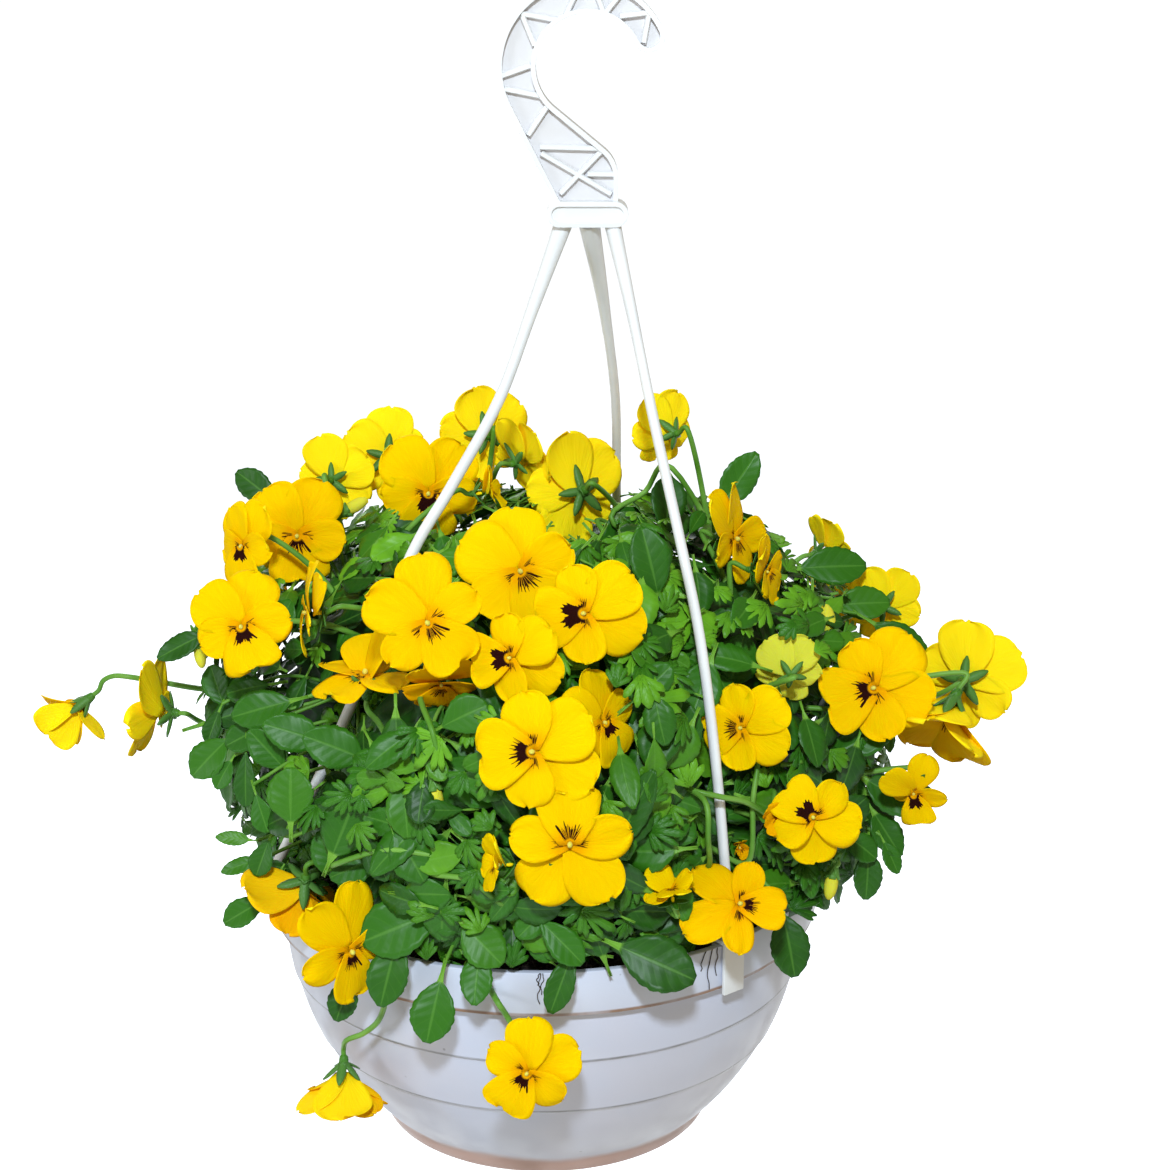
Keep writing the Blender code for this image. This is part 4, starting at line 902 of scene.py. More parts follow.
# blooms seen in the picture: pixel of the eye, world Y and span in mm, yaw, pitch and roll of the face
blooms = {
    "bloom_01": (243, 626, -58, 38, -5, 15, 18), "bloom_02": (247, 545, -20, 33, -42, 5, 8),
    "bloom_03": (298, 534, 6, 40, 0, 5, 4), "bloom_04": (334, 480, 42, 34, 168, -12, 20),
    "bloom_05": (388, 457, 58, 37, 182, -16, -30), "bloom_06": (429, 491, 24, 41, 0, 0, 0),
    "bloom_07": (484, 436, 66, 39, -158, -16, 24), "bloom_08": (522, 460, 36, 34, 130, 10, 10),
    "bloom_09": (578, 492, 30, 45, 214, -20, 25), "bloom_10": (520, 571, -72, 44, 2, 17, 35),
    "bloom_11": (428, 622, -106, 43, 0, 15, 38), "bloom_12": (313, 612, -52, 34, -80, 0, 0),
    "bloom_13": (366, 682, -73, 44, -30, 88, -12), "bloom_14": (440, 678, -95, 30, 15, -45, 0),
    "bloom_15": (586, 613, -96, 40, -12, 15, -80), "bloom_16": (514, 657, -106, 33, -30, 10, -80),
    "bloom_17": (535, 750, -130, 44, -12, 12, -86), "bloom_18": (598, 722, -104, 34, 52, 10, 20),
    "bloom_19": (570, 843, -134, 46, 0, 12, 180), "bloom_20": (505, 864, -128, 22, -68, 5, 20),
    "bloom_21": (729, 538, -6, 40, 58, 5, 0), "bloom_22": (670, 432, 32, 31, -146, -6, 0),
    "bloom_23": (761, 571, -28, 26, 66, 0, 20), "bloom_24": (823, 548, 44, 25, 120, 20, 0),
    "bloom_25": (884, 606, 34, 32, 165, -12, 0), "bloom_26": (790, 673, -60, 27, 180, -4, 0),
    "bloom_27": (744, 727, -80, 34, -28, 12, -82), "bloom_28": (874, 687, -48, 43, -8, 15, -70),
    "bloom_29": (965, 680, -12, 44, 158, -12, 30), "bloom_30": (952, 706, -34, 50, -38, -56, 20),
    "bloom_31": (914, 790, -50, 27, -10, -15, 10), "bloom_32": (812, 816, -88, 35, 4, 12, -140),
    "bloom_33": (738, 907, -108, 40, 10, 44, 72), "bloom_34": (672, 895, -118, 22, -20, 68, 30),
    "bloom_35": (346, 949, -114, 44, 40, 5, 5), "bloom_36": (303, 885, -66, 43, -150, -55, -50),
    "bloom_37": (344, 1072, -90, 40, 0, -84, 36), "bloom_38": (528, 1070, -138, 35.5, -6, 6, -36),
    "bloom_39": (82, 704, 10, 36, -96, -40, 90), "bloom_40": (164, 712, -16, 42, -103, 0, 10),
    "bloom_41": (737, 845, -70, 10, 20, 0, 40), "bloom_42": (776, 812, -84, 15, 5, -10, 0),
    "bloom_43": (483, 492, 0, 19, 84, 10, 0),
}
# blooms on the far side: azimuth, distance from the axis, height, span, pitch and roll
farBlooms = {
    "bloom_44": (122, 150, 204, 38, 15, 20), "bloom_45": (140, 142, 158, 42, 5, -25),
    "bloom_46": (150, 128, 226, 36, 30, 10), "bloom_47": (176, 148, 196, 42, 15, -15),
    "bloom_48": (184, 142, 142, 36, 0, 150), "bloom_49": (199, 132, 232, 38, 35, 30),
    "bloom_50": (216, 152, 184, 41, 12, -60), "bloom_51": (238, 148, 206, 40, 15, 15),
}
petals = {"span": 44, "thickness": 0.25, "layer": 1.2, "dish": 2, "dishReach": 26,
          "rows": 14, "columns": 15, "variants": 6, "seed": 11, "hubBack": 4, "leastScale": 0.62,
          # for upper, side and lower petals: widest place, width of the claw and bluntness of the end
          "widest": (0.64, 0.62, 0.74), "claw": (0.28, 0.24, 0.32), "blunt": (2.2, 2.1, 2.5),
          # turn from up, length, width, layer, kind and tilt towards the viewer
          "set": ((-97, 21.5, 19, 2, 1, 4), (-33, 25.5, 25, 0, 0, -3), (33, 25.5, 25, 1, 0, 0),
                  (97, 21.5, 19, 2, 1, 2), (180, 21, 27, 3, 2, 6))}
# what sets a bloom apart: tone from lemon to golden, and over 1 to orange and pale; its dark blotch; narrow
# petals; how far they fold forward, all alike or each in the set's order, where "fold" is for the sepals
bloomHabits = {
    "bloom_01": {"blotch": 0.8},
    "bloom_02": {"blotch": 0.9},
    "bloom_03": {"blotch": 0.5},
    "bloom_04": {"tone": 0.1},
    "bloom_05": {"tone": 0.15},
    "bloom_06": {"blotch": 1.0},
    "bloom_09": {"tone": 0.35, "fold": 8},
    "bloom_11": {"tone": 0.45, "slim": 0.86},
    "bloom_12": {"slim": 0.8},
    "bloom_13": {"tone": 0.5, "folds": (6, 78, 24, 10, -20)},
    "bloom_14": {"tone": 1.1, "fold": 12},
    "bloom_15": {"blotch": 1.0},
    "bloom_16": {"blotch": 1.0},
    "bloom_17": {"blotch": 0.7},
    "bloom_18": {"blotch": 0.8},
    "bloom_19": {"tone": 0.2, "blotch": 0.3, "slim": 0.88},
    "bloom_20": {"tone": 0.2, "fold": 28},
    "bloom_21": {"tone": 0.2, "fold": 8, "slim": 0.85},
    "bloom_22": {"tone": 0.3, "fold": 22},
    "bloom_23": {"tone": 0.3, "fold": 14},
    "bloom_24": {"tone": 0.6, "fold": 25},
    "bloom_25": {"tone": 0.5},
    "bloom_26": {"tone": 1.9, "fold": 18},
    "bloom_27": {"blotch": 0.3},
    "bloom_28": {"blotch": 0.7},
    "bloom_29": {"tone": 0.55, "fold": 10},
    "bloom_30": {"tone": 0.3, "fold": 40},
    "bloom_31": {"tone": 0.3, "blotch": 1.0, "folds": (15, -18, 20, -25, 10), "fold": 0, "slim": 0.86},
    "bloom_32": {"tone": 0.1, "blotch": 1.0, "slim": 0.96},
    "bloom_33": {"tone": 0.9, "blotch": 0.6, "slim": 0.76},
    "bloom_34": {"tone": 0.1, "folds": (35, -12, 45, 0, 25), "fold": 0},
    "bloom_35": {"tone": 0.2, "blotch": 0.6, "slim": 0.76},
    "bloom_36": {"tone": 1.2, "folds": (5, 5, 45, 60, 45), "fold": 15},
    "bloom_37": {"tone": 1.13, "fold": 36},
    "bloom_38": {"tone": 0.2, "blotch": 0.7, "slim": 0.92},
    "bloom_39": {"tone": 0.5, "folds": (80, 68, 62, -5, 60), "fold": 55},
    "bloom_40": {"tone": 0.5, "fold": 16, "slim": 0.9},
    "bloom_41": {"tone": 1.3, "fold": 60},
    "bloom_42": {"tone": 1.3, "fold": 45},
    "bloom_43": {"tone": 0.2, "fold": 30},
}


def facing(yaw, pitch, roll):
    yaw, pitch = math.radians(yaw), math.radians(pitch)
    normal = Vector((math.sin(yaw) * math.cos(pitch), -math.cos(yaw) * math.cos(pitch), math.sin(pitch)))
    up = Vector((-math.sin(yaw) * math.sin(pitch), math.cos(yaw) * math.sin(pitch), math.cos(pitch)))
    turned = Matrix((up.cross(normal), up, normal)).transposed()
    return turned @ Matrix.Rotation(math.radians(roll), 3, "Z")


def bloomPlaces():
    places = []
    for name, (px, py, y, span, yaw, pitch, roll) in blooms.items():
        place = Matrix.Translation(sightPoint(px, py, y * mm))
        places.append((name, place @ facing(yaw, pitch, roll).to_4x4(), span * mm))
    for name, (azimuth, reach, height, span, pitch, roll) in farBlooms.items():
        place = Matrix.Translation(radial(azimuth) * reach * mm + Vector((0, 0, height * mm)))
        places.append((name, place @ facing(azimuth, pitch, roll).to_4x4(), span * mm))
    return places


def petalBlade(length, width, kind, draw):
    # broad rounded blade on a narrow claw, dished, creased and ruffled towards its edge
    t = (1 - (1 - np.linspace(0, 1, petals["rows"])) ** 1.45)[:, None]
    u = np.linspace(-1, 1, petals["columns"])[None, :]
    widest = petals["widest"][kind] + draw.uniform(-0.03, 0.03)
    claw, blunt = petals["claw"][kind], petals["blunt"][kind]
    low = claw + (1 - claw) * np.sin(np.pi / 2 * np.clip(t / widest, 0, 1))
    high = np.clip(1 - np.clip((t - widest) / (1 - widest), 0, 1) ** blunt * 0.985, 0, 1) ** (1 / blunt)
    waves = 1 + 0.035 * np.sin(9 * t + np.sign(u) * draw.uniform(1, 4) + draw.uniform(0, 6)) * t
    x = u * np.where(t < widest, low, high) * width / 2 * waves
    notch = draw.uniform(0.05, 0.10) if kind == 2 else draw.uniform(0, 0.03)
    offset = draw.uniform(-1, 1) if kind == 2 else draw.uniform(-3, 3)
    y = length * (t - notch * np.exp(-((x - offset) / (0.15 * width)) ** 2) * t ** 7)
    y = y * (1 + 0.022 * np.sin(u * draw.uniform(3, 6) + draw.uniform(0, 6)) * t ** 4)
    grow = t ** 1.6
    phase, pace = draw.uniform(0, 6.28), draw.uniform(2.0, 3.6)
    ruffle = np.sin(pace * u * 2 + phase + t * 2.2) * np.abs(u) ** 1.2 * grow
    swell = np.sin(draw.uniform(0, 6.28) + 3.2 * t + u * 1.4) * grow
    curl = draw.uniform(-3.0, 1.2) * t ** 4 + draw.uniform(-1.8, 1.8) * u * t ** 2
    crease = draw.uniform(0.05, 0.20) * np.abs(x) * (1 - t)
    crease = crease + draw.uniform(-0.10, 0.16) * np.abs(x - offset) * t ** 2
    dish = petals["dish"] * (x ** 2 + y ** 2) / petals["dishReach"] ** 2
    z = 1.25 * ruffle + 0.9 * swell + curl + crease - dish
    return twoSided(np.stack([x, y, z], 2), x / length, y / length, petals["thickness"], kind, -1)


def ovoid(radii, centre, mark, rings=6, sides=8):
    # small closed body for the style, the spur, the green cups and the buds
    points = [(centre[0], centre[1], centre[2] - radii[2])]
    for i in range(1, rings):
        turn = math.pi * i / rings
        for k in range(sides):
            a = math.tau * k / sides
            points.append((centre[0] + radii[0] * math.sin(turn) * math.cos(a),
                           centre[1] + radii[1] * math.sin(turn) * math.sin(a),
                           centre[2] - radii[2] * math.cos(turn)))
    points.append((centre[0], centre[1], centre[2] + radii[2]))
    return points, ringFaces(rings - 1, sides), [(0, 0.5, mark)] * len(points)


def petalShapes():
    # variants of the upper, the side and the lower petal, then the style and the spur
    draw = random.Random(petals["seed"])
    shapes = []
    for _, length, width, _, kind, _ in (petals["set"][1], petals["set"][0], petals["set"][4]):
        for _ in range(petals["variants"]):
            shapes.append(petalBlade(length, width, kind, draw))
    shapes.append(ovoid((1.0, 1.2, 1.3), (0, -0.2, 4.3), 3))
    shapes.append(ovoid((1.1, 1.2, 2.4), (0, -0.6, -3.0), -1))
    return shapes


def makeBloom(index, name, matrix, span, shapes):
    draw = random.Random(index)
    scale = span / (petals["span"] * mm)
    habit = bloomHabits.get(name, {})
    tone = habit.get("tone", random.Random(index + 300).uniform(0.0, 0.5))
    blotch = habit.get("blotch", 0.0)
    folds = habit.get("folds", [habit.get("fold", 0)] * 5)
    spots = []
    for (turn, _, _, layer, kind, tilt), fold in zip(petals["set"], folds):
        size = scale * draw.uniform(0.96, 1.04) * mm
        fold = fold + tilt + draw.uniform(-5, 5)
        swing = (Matrix.Rotation(math.radians(turn + draw.uniform(-5, 5)), 3, "Z")
                 @ Matrix.Rotation(math.radians(fold), 3, "X")
                 @ Matrix.Rotation(math.radians(draw.uniform(-5, 5)), 3, "Y"))
        pick = kind * petals["variants"] + (index * 5 + layer * 3) % petals["variants"]
        spots.append(spot(Vector((0, 0, layer * petals["layer"] * mm)), swing, pick,
                          (size * habit.get("slim", 1), size, size), tone + 0.10 * (kind > 0), blotch))
    for extra in (0, 1):
        spots.append(spot(Vector((0, 0, 0)), Matrix.Identity(3), 3 * petals["variants"] + extra,
                          [max(petals["leastScale"], scale) * mm] * 3, tone, blotch))
    bloom = grown(name.replace("bloom_", "violaBloom"), spotMesh("petalSpots", spots), scatterTree, {
        "Shapes": shapes, "Material": finishes["petal"], "Size jitter": 0.0, "Seed": index})
    bloom.data.transform(matrix)
    return addPiece(bloom, "petal_yellow", name)


places = bloomPlaces()
petalCollection = shapeCollection("petal", petalShapes())
for index, (name, matrix, span) in enumerate(places):
    makeBloom(index, name, matrix, span, petalCollection)
print("blooms made:", len(places))


# foliage mound: a rounded barrel that each strap runs through in a furrow
mound = {"centre": 168, "halfHeight": 98, "side": 148, "front": 130, "exponent": 2.6,
         "furrow": 7, "furrowWidth": 11, "furrowFloor": 14,
         "coreInset": 33, "coreHalfHeight": 70, "coreLeast": 12, "crinkle": 5, "low": 107, "high": 232,
         "rings": 30, "turns": 150, "seed": 3,
         "edges": (46, 166, 286), "names": ("front", "right", "left")}


def angleBetween(a, b):
    return abs((a - b + 180) % 360 - 180)


def strapAt(index, height):
    points = [Vector(p) for p in straps["routes"][index]] + [strapPath(index)[-1] / mm]
    for above, below in zip(points, points[1:]):
        if height >= below.z:
            break
    share = min(max((above.z - height) / (above.z - below.z), 0), 1)
    place = above.lerp(below, share)
    return azimuthOf(place), place.xy.length


def barrel(height, halfHeight):
    share = min(1, abs(height - mound["centre"]) / halfHeight)
    return (1 - share ** mound["exponent"]) ** (1 / mound["exponent"])


def furrowed(reach, azimuth, height, margin):
    result = reach
    for index in range(3):
        side, limit = strapAt(index, height)
        depth = max(0, reach - max(limit - margin, mound["furrowFloor"]))
        beside = angleBetween(azimuth, side) / mound["furrowWidth"]
        result = min(result, reach - depth * math.exp(-beside ** 2))
    return result


def fullReach(azimuth):
    forward = max(0, math.cos(math.radians(azimuth)))
    return mound["side"] - (mound["side"] - mound["front"]) * forward ** 1.5


def moundReach(azimuth, height):
    reach = fullReach(azimuth) * barrel(height, mound["halfHeight"])
    return furrowed(reach, azimuth, height, mound["furrow"])


def coreReach(azimuth, height):
    reach = (fullReach(azimuth) - mound["coreInset"]) * barrel(height, mound["coreHalfHeight"])
    crinkle = math.sin(0.21 * azimuth + height * 0.190) * math.sin(0.13 * azimuth - height * 0.260)
    reach = furrowed(reach + mound["crinkle"] * crinkle, azimuth, height, 2.5 * mound["furrow"])
    if height < pot["height"] + 8:
        reach = min(reach, pot["rim"] - pot["rimThickness"] - 10)
    return max(reach, mound["coreLeast"])


def corePoint(azimuth, height):
    return (radial(azimuth) * coreReach(azimuth, height) + Vector((0, 0, height))) * mm


def makeCore():
    # dark inner mass of stems and small leaves, painted with the darkest leaf tone as painted shade
    draw = random.Random(mound["seed"])
    turns = mound["turns"]
    points = [Vector((0, 0, mound["low"] * mm))]
    for height in np.linspace(mound["low"], mound["high"], mound["rings"]):
        for k in range(turns):
            point = corePoint(360 * k / turns, height)
            inward = 1 - (7 + 5 * draw.random()) / max(20, point.xy.length / mm)
            points.append(Vector((point.x * inward, point.y * inward, point.z)))
    points.append(Vector((0, 0, (mound["high"] - 2) * mm)))
    count = len(points)
    # tone 0 gives the darkest green: painted shade inside the mound
    piece = linked("innerFoliage", meshOf("innerFoliage", points, ringFaces(mound["rings"], turns),
                                          blade=[(0.5, 0.5, 1)] * count, tone=[0.0] * count))
    faceOut(piece.data)
    piece.data.shade_smooth()
    piece.data.materials.append(finishes["leaf"])
    return addPiece(piece, "foliage")


makeCore()


# leaf shapes: (length, width, place of the widest point) and (length, width, lobes) in mm
leaves = {"oval": ((30, 19, 0.44), (28, 20, 0.48), (32, 18, 0.42), (26, 17, 0.60), (30, 16, 0.66)),
          "large": ((30, 20, 0.44), (30, 20, 0.52), (30, 20, 0.60)),
          "lobed": ((20, 15, 5), (17, 14, 5), (22, 13, 7)),
          "usual": {"oval": 30, "lobed": 20}, "usualWidth": 20, "thickness": 0.35, "stalk": 12,
          "teeth": (0.965, 1.02, 1.01), "tries": 7, "seed": 21}


def ovalLeaf(length, width, widest, teeth, columns, draw):
    # blade with shallow round teeth and a folded midrib, on a narrow stalk that starts at the origin
    stalk = leaves["stalk"]
    t = np.linspace(0, 1, teeth * 3 + 2)[:, None]
    u = np.linspace(-1, 1, columns)[None, :]
    power = math.log(0.5) / math.log(widest)
    half = width / 2 * np.sin(np.pi * np.clip(t, 0.015, 0.985) ** power) ** 0.60
    half = half * np.array([leaves["teeth"][i % 3] for i in range(len(t))])[:, None]
    bend = draw.uniform(-0.10, 0.10)
    x = u * half + bend * length * t ** 2
    y = stalk + length * (t + np.abs(u) * 0.02 * np.sin(t * np.pi))
    fold = draw.uniform(0.06, 0.26)
    arch = draw.uniform(0.0, 0.26)
    ribs = 0.22 * np.sin(2 * np.pi * (t * teeth - np.abs(u) * 0.8)) * np.abs(u) ** 0.7
    wave = draw.uniform(0.4, 1.5) * np.sin(t * 7 + np.sign(u) * 1.5 + draw.uniform(0, 6)) * u ** 2
    z = np.abs(u) * half * fold - arch * length * t ** 2 + ribs + wave * np.sin(np.pi * t)
    s = np.array([[0.0], [0.6]])     # two rows of stalk before the blade
    stem = np.stack(np.broadcast_arrays(u * 0.65, stalk * s, 0.8 * np.abs(u) - 0.4), 2)
    top = np.concatenate([stem, np.stack([x, y, z], 2)])
    along = np.concatenate([[[-1.0], [-0.5]], t])
    across = np.repeat(u, len(along), 0)
    return twoSided(top, across, np.repeat(along, columns, 1), leaves["thickness"], 1, -1)


def lobedLeaf(length, width, lobes, draw):
    # stipule cut into narrow lobes, the end one largest
    allPoints, allFaces, allMarks = [], [], []
    t = np.array([0.0, 0.45, 0.8, 1.0])[:, None]
    u = np.array([-1.0, 0.0, 1.0])[None, :]
    for k in range(lobes):
        side = (k + 1) // 2 * (1 if k % 2 else -1)
        angle = math.radians(side * draw.uniform(19, 26))
        reach = length * (1 - 0.14 * abs(side)) * draw.uniform(0.9, 1.05)
        half = np.array([0.8, 1.5, 1.9, 0.5])[:, None] * (1.45 if side == 0 else 1.0) * width / 14
        z = 0.35 * np.abs(u) * half - 0.12 * reach * t ** 2 + 0.05 * abs(side)
        spin = np.array([[math.cos(angle), math.sin(angle)], [-math.sin(angle), math.cos(angle)]])
        flat = np.stack([u * half, reach * t + 0 * u], 2) @ spin
        top = np.concatenate([flat, z[:, :, None]], 2)
        points, faces, marks = twoSided(top, np.repeat(u, 4, 0), np.repeat(t, 3, 1), 0.3, 1, -1)
        allFaces += [tuple(i + len(allPoints) for i in f) for f in faces]
        allPoints += list(points)
        allMarks += list(marks)
    return allPoints, allFaces, allMarks


def sepalShape():
    # fleshy pointed sepal with a broad flap behind its foot
    t = np.array([-0.38, -0.16, 0.12, 0.45, 0.78, 1.0])[:, None]
    half = np.array([1.4, 1.8, 1.6, 1.8, 1.2, 0.2])[:, None]
    u = np.array([-1.0, 0.0, 1.0])[None, :]
    z = 0.35 * np.abs(u) * half + 1.2 * np.clip(t, 0, 1) ** 2 - 2.6 * np.clip(-t, 0, 1)
    top = np.stack(np.broadcast_arrays(u * half, 9.4 * t, z), 2)
    return twoSided(top, np.repeat(u, 6, 0), np.repeat(np.clip(t, 0.1, 1), 3, 1), 0.6, 1, -1)


def leafShapes():
    draw = random.Random(leaves["seed"])
    shapes = [ovalLeaf(*size, 5, 5, draw) for size in leaves["oval"]]
    shapes += [lobedLeaf(*size, draw) for size in leaves["lobed"]]
    shapes.append(sepalShape())
    shapes += [ovalLeaf(*size, 6, 9, draw) for size in leaves["large"]]
    shapes.append(ovoid((2.1, 2.1, 2.7), (0, 0, 0), 1))
    return shapes


# where each kind starts among the leaf shapes
shapeNumbers = {"oval": 0, "lobed": 5, "sepal": 8, "large": 9, "cup": 12}

# large leaves in the picture: pixel of the blade's middle, world Y, length, width, tip's direction, tone
largeLeaves = (
    (655, 962, -126, 29, 20, -20, 0.18), (562, 982, -126, 25, 11, -112, 0.25),
    (433, 1012, -126, 23, 17, -100, 0.45), (476, 980, -128, 17, 12, -95, 0.5),
    (404, 925, -112, 32, 22, 200, 0.45), (484, 946, -124, 21, 17, -40, 0.6),
    (388, 974, -118, 26, 16, -100, 0.3), (343, 1000, -110, 18, 12, -105, 0.2),
    (790, 946, -86, 24, 16, -88, 0.2), (254, 485, 24, 21, 13, 135, 0.2), (742, 476, 14, 25, 15, 65, 0.45),
    (832, 566, 24, 27, 16, 4, 0.45), (180, 646, -28, 19, 10, 212, 0.2),
    (208, 758, -46, 20, 15, 232, 0.55), (244, 911, -60, 22, 12, 213, 0.5),
    (405, 808, -110, 24, 15, -80, 0.6), (650, 558, -58, 27, 17, 110, 0.3),
    (680, 735, -88, 26, 17, 100, 0.3), (636, 806, -118, 33, 13, 68, 0.25),
    (462, 716, -110, 18, 15, 30, 0.55), (290, 797, -94, 20, 18, 80, 0.6),
    (740, 602, -10, 30, 20, 10, 0.15), (668, 508, 4, 24, 15, 100, 0.15), (862, 603, 10, 22, 14, 5, 0.6),
    (905, 642, 0, 28, 14, -38, 0.35), (800, 645, -20, 22, 17, 60, 0.4), (888, 836, -40, 20, 13, -70, 0.3),
    (868, 874, -50, 19, 12, -105, 0.25), (862, 846, -52, 18, 12, -40, 0.3),
    (892, 858, -44, 14, 8, -75, 0.4), (895, 796, -38, 25, 16, -35, 0.3),
    (216, 686, -20, 18, 12, 98, 0.35), (238, 712, -26, 27, 17, 15, 0.15),
    (238, 866, -50, 15, 7, 200, 0.6), (470, 778, -108, 27, 18, -25, 0.5),
    (632, 662, -70, 20, 16, 200, 0.45), (440, 858, -116, 19, 13, 15, 0.8),
    (738, 660, -50, 20, 17, 85, 0.5), (410, 522, 20, 24, 15, 25, 0.15), (386, 545, -4, 24, 16, 200, 0.2),
    (620, 530, 10, 24, 14, 60, 0.3), (600, 880, -118, 24, 12, 60, 0.35),
    (330, 745, -90, 24, 17, 150, 0.4), (352, 868, -98, 20, 14, -160, 0.35),
    (328, 856, -92, 18, 12, 100, 0.4), (560, 940, -124, 22, 12, -40, 0.5),
    (345, 825, -100, 25, 18, 60, 0.35), (690, 650, -60, 18, 14, 60, 0.6),
    (535, 600, -60, 22, 15, 60, 0.3), (612, 590, -40, 24, 15, 100, 0.35),
    (860, 740, -50, 32, 15, 35, 0.35), (700, 690, -76, 22, 16, -120, 0.5),
    (266, 748, -58, 19, 13, 120, 0.4), (262, 708, -50, 23, 15, 195, 0.4),
    (292, 732, -64, 22, 15, 155, 0.5), (246, 735, -48, 18, 12, -150, 0.3),
    (245, 778, -54, 21, 9, -78, 0.25), (232, 838, -58, 13, 6, 170, 0.7),
    (222, 776, -50, 13, 9, -110, 0.45), (262, 858, -68, 15, 10, -100, 0.3),
    (262, 815, -74, 16, 10, -60, 0.5), (212, 728, -34, 14, 8, -100, 0.2),
)
# pale buds: pixel, world Y, length and direction of the tip
buds = ((436, 798, -112, 12, -80), (828, 622, -18, 15, 100), (831, 885, -70, 12, -100),
        (200, 655, -26, 11, -80), (676, 632, -60, 9, 80), (355, 506, 18, 12, 30), (790, 655, -40, 8, 60))
# stems that show between the leaves, through places (pixel, world Y)
showingStems = (
    ((707, 868, -92), (708, 838, -104), (704, 800, -100)),
    ((748, 862, -84), (753, 800, -82), (757, 750, -72)),
    ((330, 866, -98), (385, 850, -112), (450, 856, -112)), ((614, 524, 8), (645, 492, 20), (672, 468, 16)),
    ((770, 748, -76), (800, 730, -66), (838, 712, -42)),
    ((775, 822, -76), (748, 803, -88), (722, 797, -95), (692, 790, -94)),
    ((392, 470, 52), (392, 505, 40), (394, 545, 20)), ((420, 690, -90), (432, 730, -112), (448, 775, -108)),
    ((505, 905, -118), (470, 880, -122), (430, 872, -112)),
    ((600, 520, 20), (618, 550, 4), (640, 585, -20)),
)
# stems that start under their bloom and are led the same way
ledStems = {
    "bloom_29": ((940, 694, -18), (915, 702, -2), (880, 702, 8)),
    "bloom_33": ((716, 925, -96), (690, 905, -88), (640, 880, -56)),
    "bloom_37": ((347, 1040, -94), (364, 1033, -98), (380, 1018, -104), (387, 990, -112), (388, 955, -108),
                 (392, 910, -60)),
    "bloom_38": ((508, 1018, -122), (494, 996, -119), (470, 950, -70)),
    "bloom_39": ((103, 681, 9), (114, 676, 9), (130, 677, 8), (160, 682, 12), (215, 690, 14),
                 (300, 690, 14)),
    "bloom_40": ((197, 720, -6), (215, 729, -2), (262, 752, 8), (330, 760, 12)),
}
# radii in mm, how far a stem thickens inwards, and the heights between which stems start in the mound
stems = {"radius": 1.0, "growth": 0.35, "showing": 1.15, "stalk": 0.75, "bud": 0.8, "sides": 7,
         "shoots": 26, "rootLow": 124, "rootHigh": 216}


def sectorOf(point):
    for number, edge in enumerate(mound["edges"]):
        if (edge - azimuthOf(point)) % 360 < 120:
            return number
    return 0


def innerPoint(azimuth, height, depth=15):
    reach = max(coreReach(azimuth, height) - depth, 8)
    return (radial(azimuth) * reach + Vector((0, 0, height))) * mm


# what no leaf may hide: blooms and straps as the picture shows them; each strap counts down to a pixel row
bloomDiscs = [(*picturePlace(m.translation), view["scale"] * s / 2) for n, m, s in places if n in blooms]
discArray = np.array([(x, y, d, r / d) for x, y, d, r in bloomDiscs])
strapMarks = []
for index, lowest in enumerate((875, 505, 785)):
    for point in smoothPath(strapPath(index), 4):
        x, y, depth = picturePlace(point)
        if y < lowest:
            strapMarks.append((x, y, depth))
strapArray = np.array(strapMarks)
bloomCentres = np.array([tuple(m.translation) for _, m, _ in places])
bloomNormals = np.array([tuple(m.to_3x3() @ Vector((0, 0, 1))) for _, m, _ in places])
bloomRadii = np.array([s * 0.5 for _, _, s in places])
# shares of a bloom's and a leaf's radius, a strap's half width in pixels, and depths in metres
guard = {"bloom": 0.90, "leaf": 0.80, "strap": 6, "leafAtStrap": 0.9, "behind": 0.006,
         "touch": 0.95, "touchDepth": 0.006}


def hidesBloom(point, radius):
    x, y, depth = picturePlace(point)
    size = view["scale"] * radius / depth
    away = np.hypot(discArray[:, 0] - x, discArray[:, 1] - y)
    near = away < discArray[:, 3] * guard["bloom"] + size * guard["leaf"]
    if np.any(near & (depth < discArray[:, 2] + guard["behind"])):
        return True
    away = np.hypot(strapArray[:, 0] - x, strapArray[:, 1] - y)
    near = away < guard["strap"] + size * guard["leafAtStrap"]
    return bool(np.any(near & (depth < strapArray[:, 2] + guard["behind"])))


def meetsBloom(points):
    for point in points:
        offset = np.array(point)[None, :] - bloomCentres
        above = np.einsum("ij,ij->i", offset, bloomNormals)
        flat = np.sqrt(np.maximum(0, np.einsum("ij,ij->i", offset, offset) - above ** 2))
        if np.any((flat < bloomRadii * guard["touch"]) & (np.abs(above) < guard["touchDepth"])):
            return True
    return False


def clearOfPot(points):
    for p in points:
        if p.z < (pot["height"] + 2) * mm and p.xy.length < (pot["rim"] + 3) * mm:
            return False
        # at the front no leaf hides the rim
        if p.z < 121 * mm and p.y < -60 * mm and p.xy.length > (pot["rim"] - 7) * mm:
            return False
    return True


# how the leaves stand: number for each plant, lengths, depths under the mound, heights and tones
layers = ({"shape": "oval", "count": 210, "length": (13, 24), "depth": (5, 13), "height": (112, 246),
           "tone": (0.10, 0.95)},
          {"shape": "oval", "count": 60, "length": (10, 17), "depth": (6, 24), "height": (113, 124),
           "tone": (0.2, 0.8)},
          {"shape": "lobed", "count": 60, "length": (9, 15), "depth": (6, 24), "height": (113, 126),
           "tone": (0.3, 0.9)},
          # the deepest layer takes the darker tones as painted shade
          {"shape": "oval", "count": 230, "length": (14, 24), "depth": (15, 28), "height": (112, 246),
           "tone": (0.0, 0.50)},
          {"shape": "lobed", "count": 190, "length": (9, 16), "depth": (3, 14), "height": (112, 246),
           "tone": (0.45, 1.0)})
lean = {"front": 0.85, "up": 0.40, "spread": 0.62, "turnSpread": 1.25}
crown = {"share": 0.36, "height": 0.80, "rise": 24}


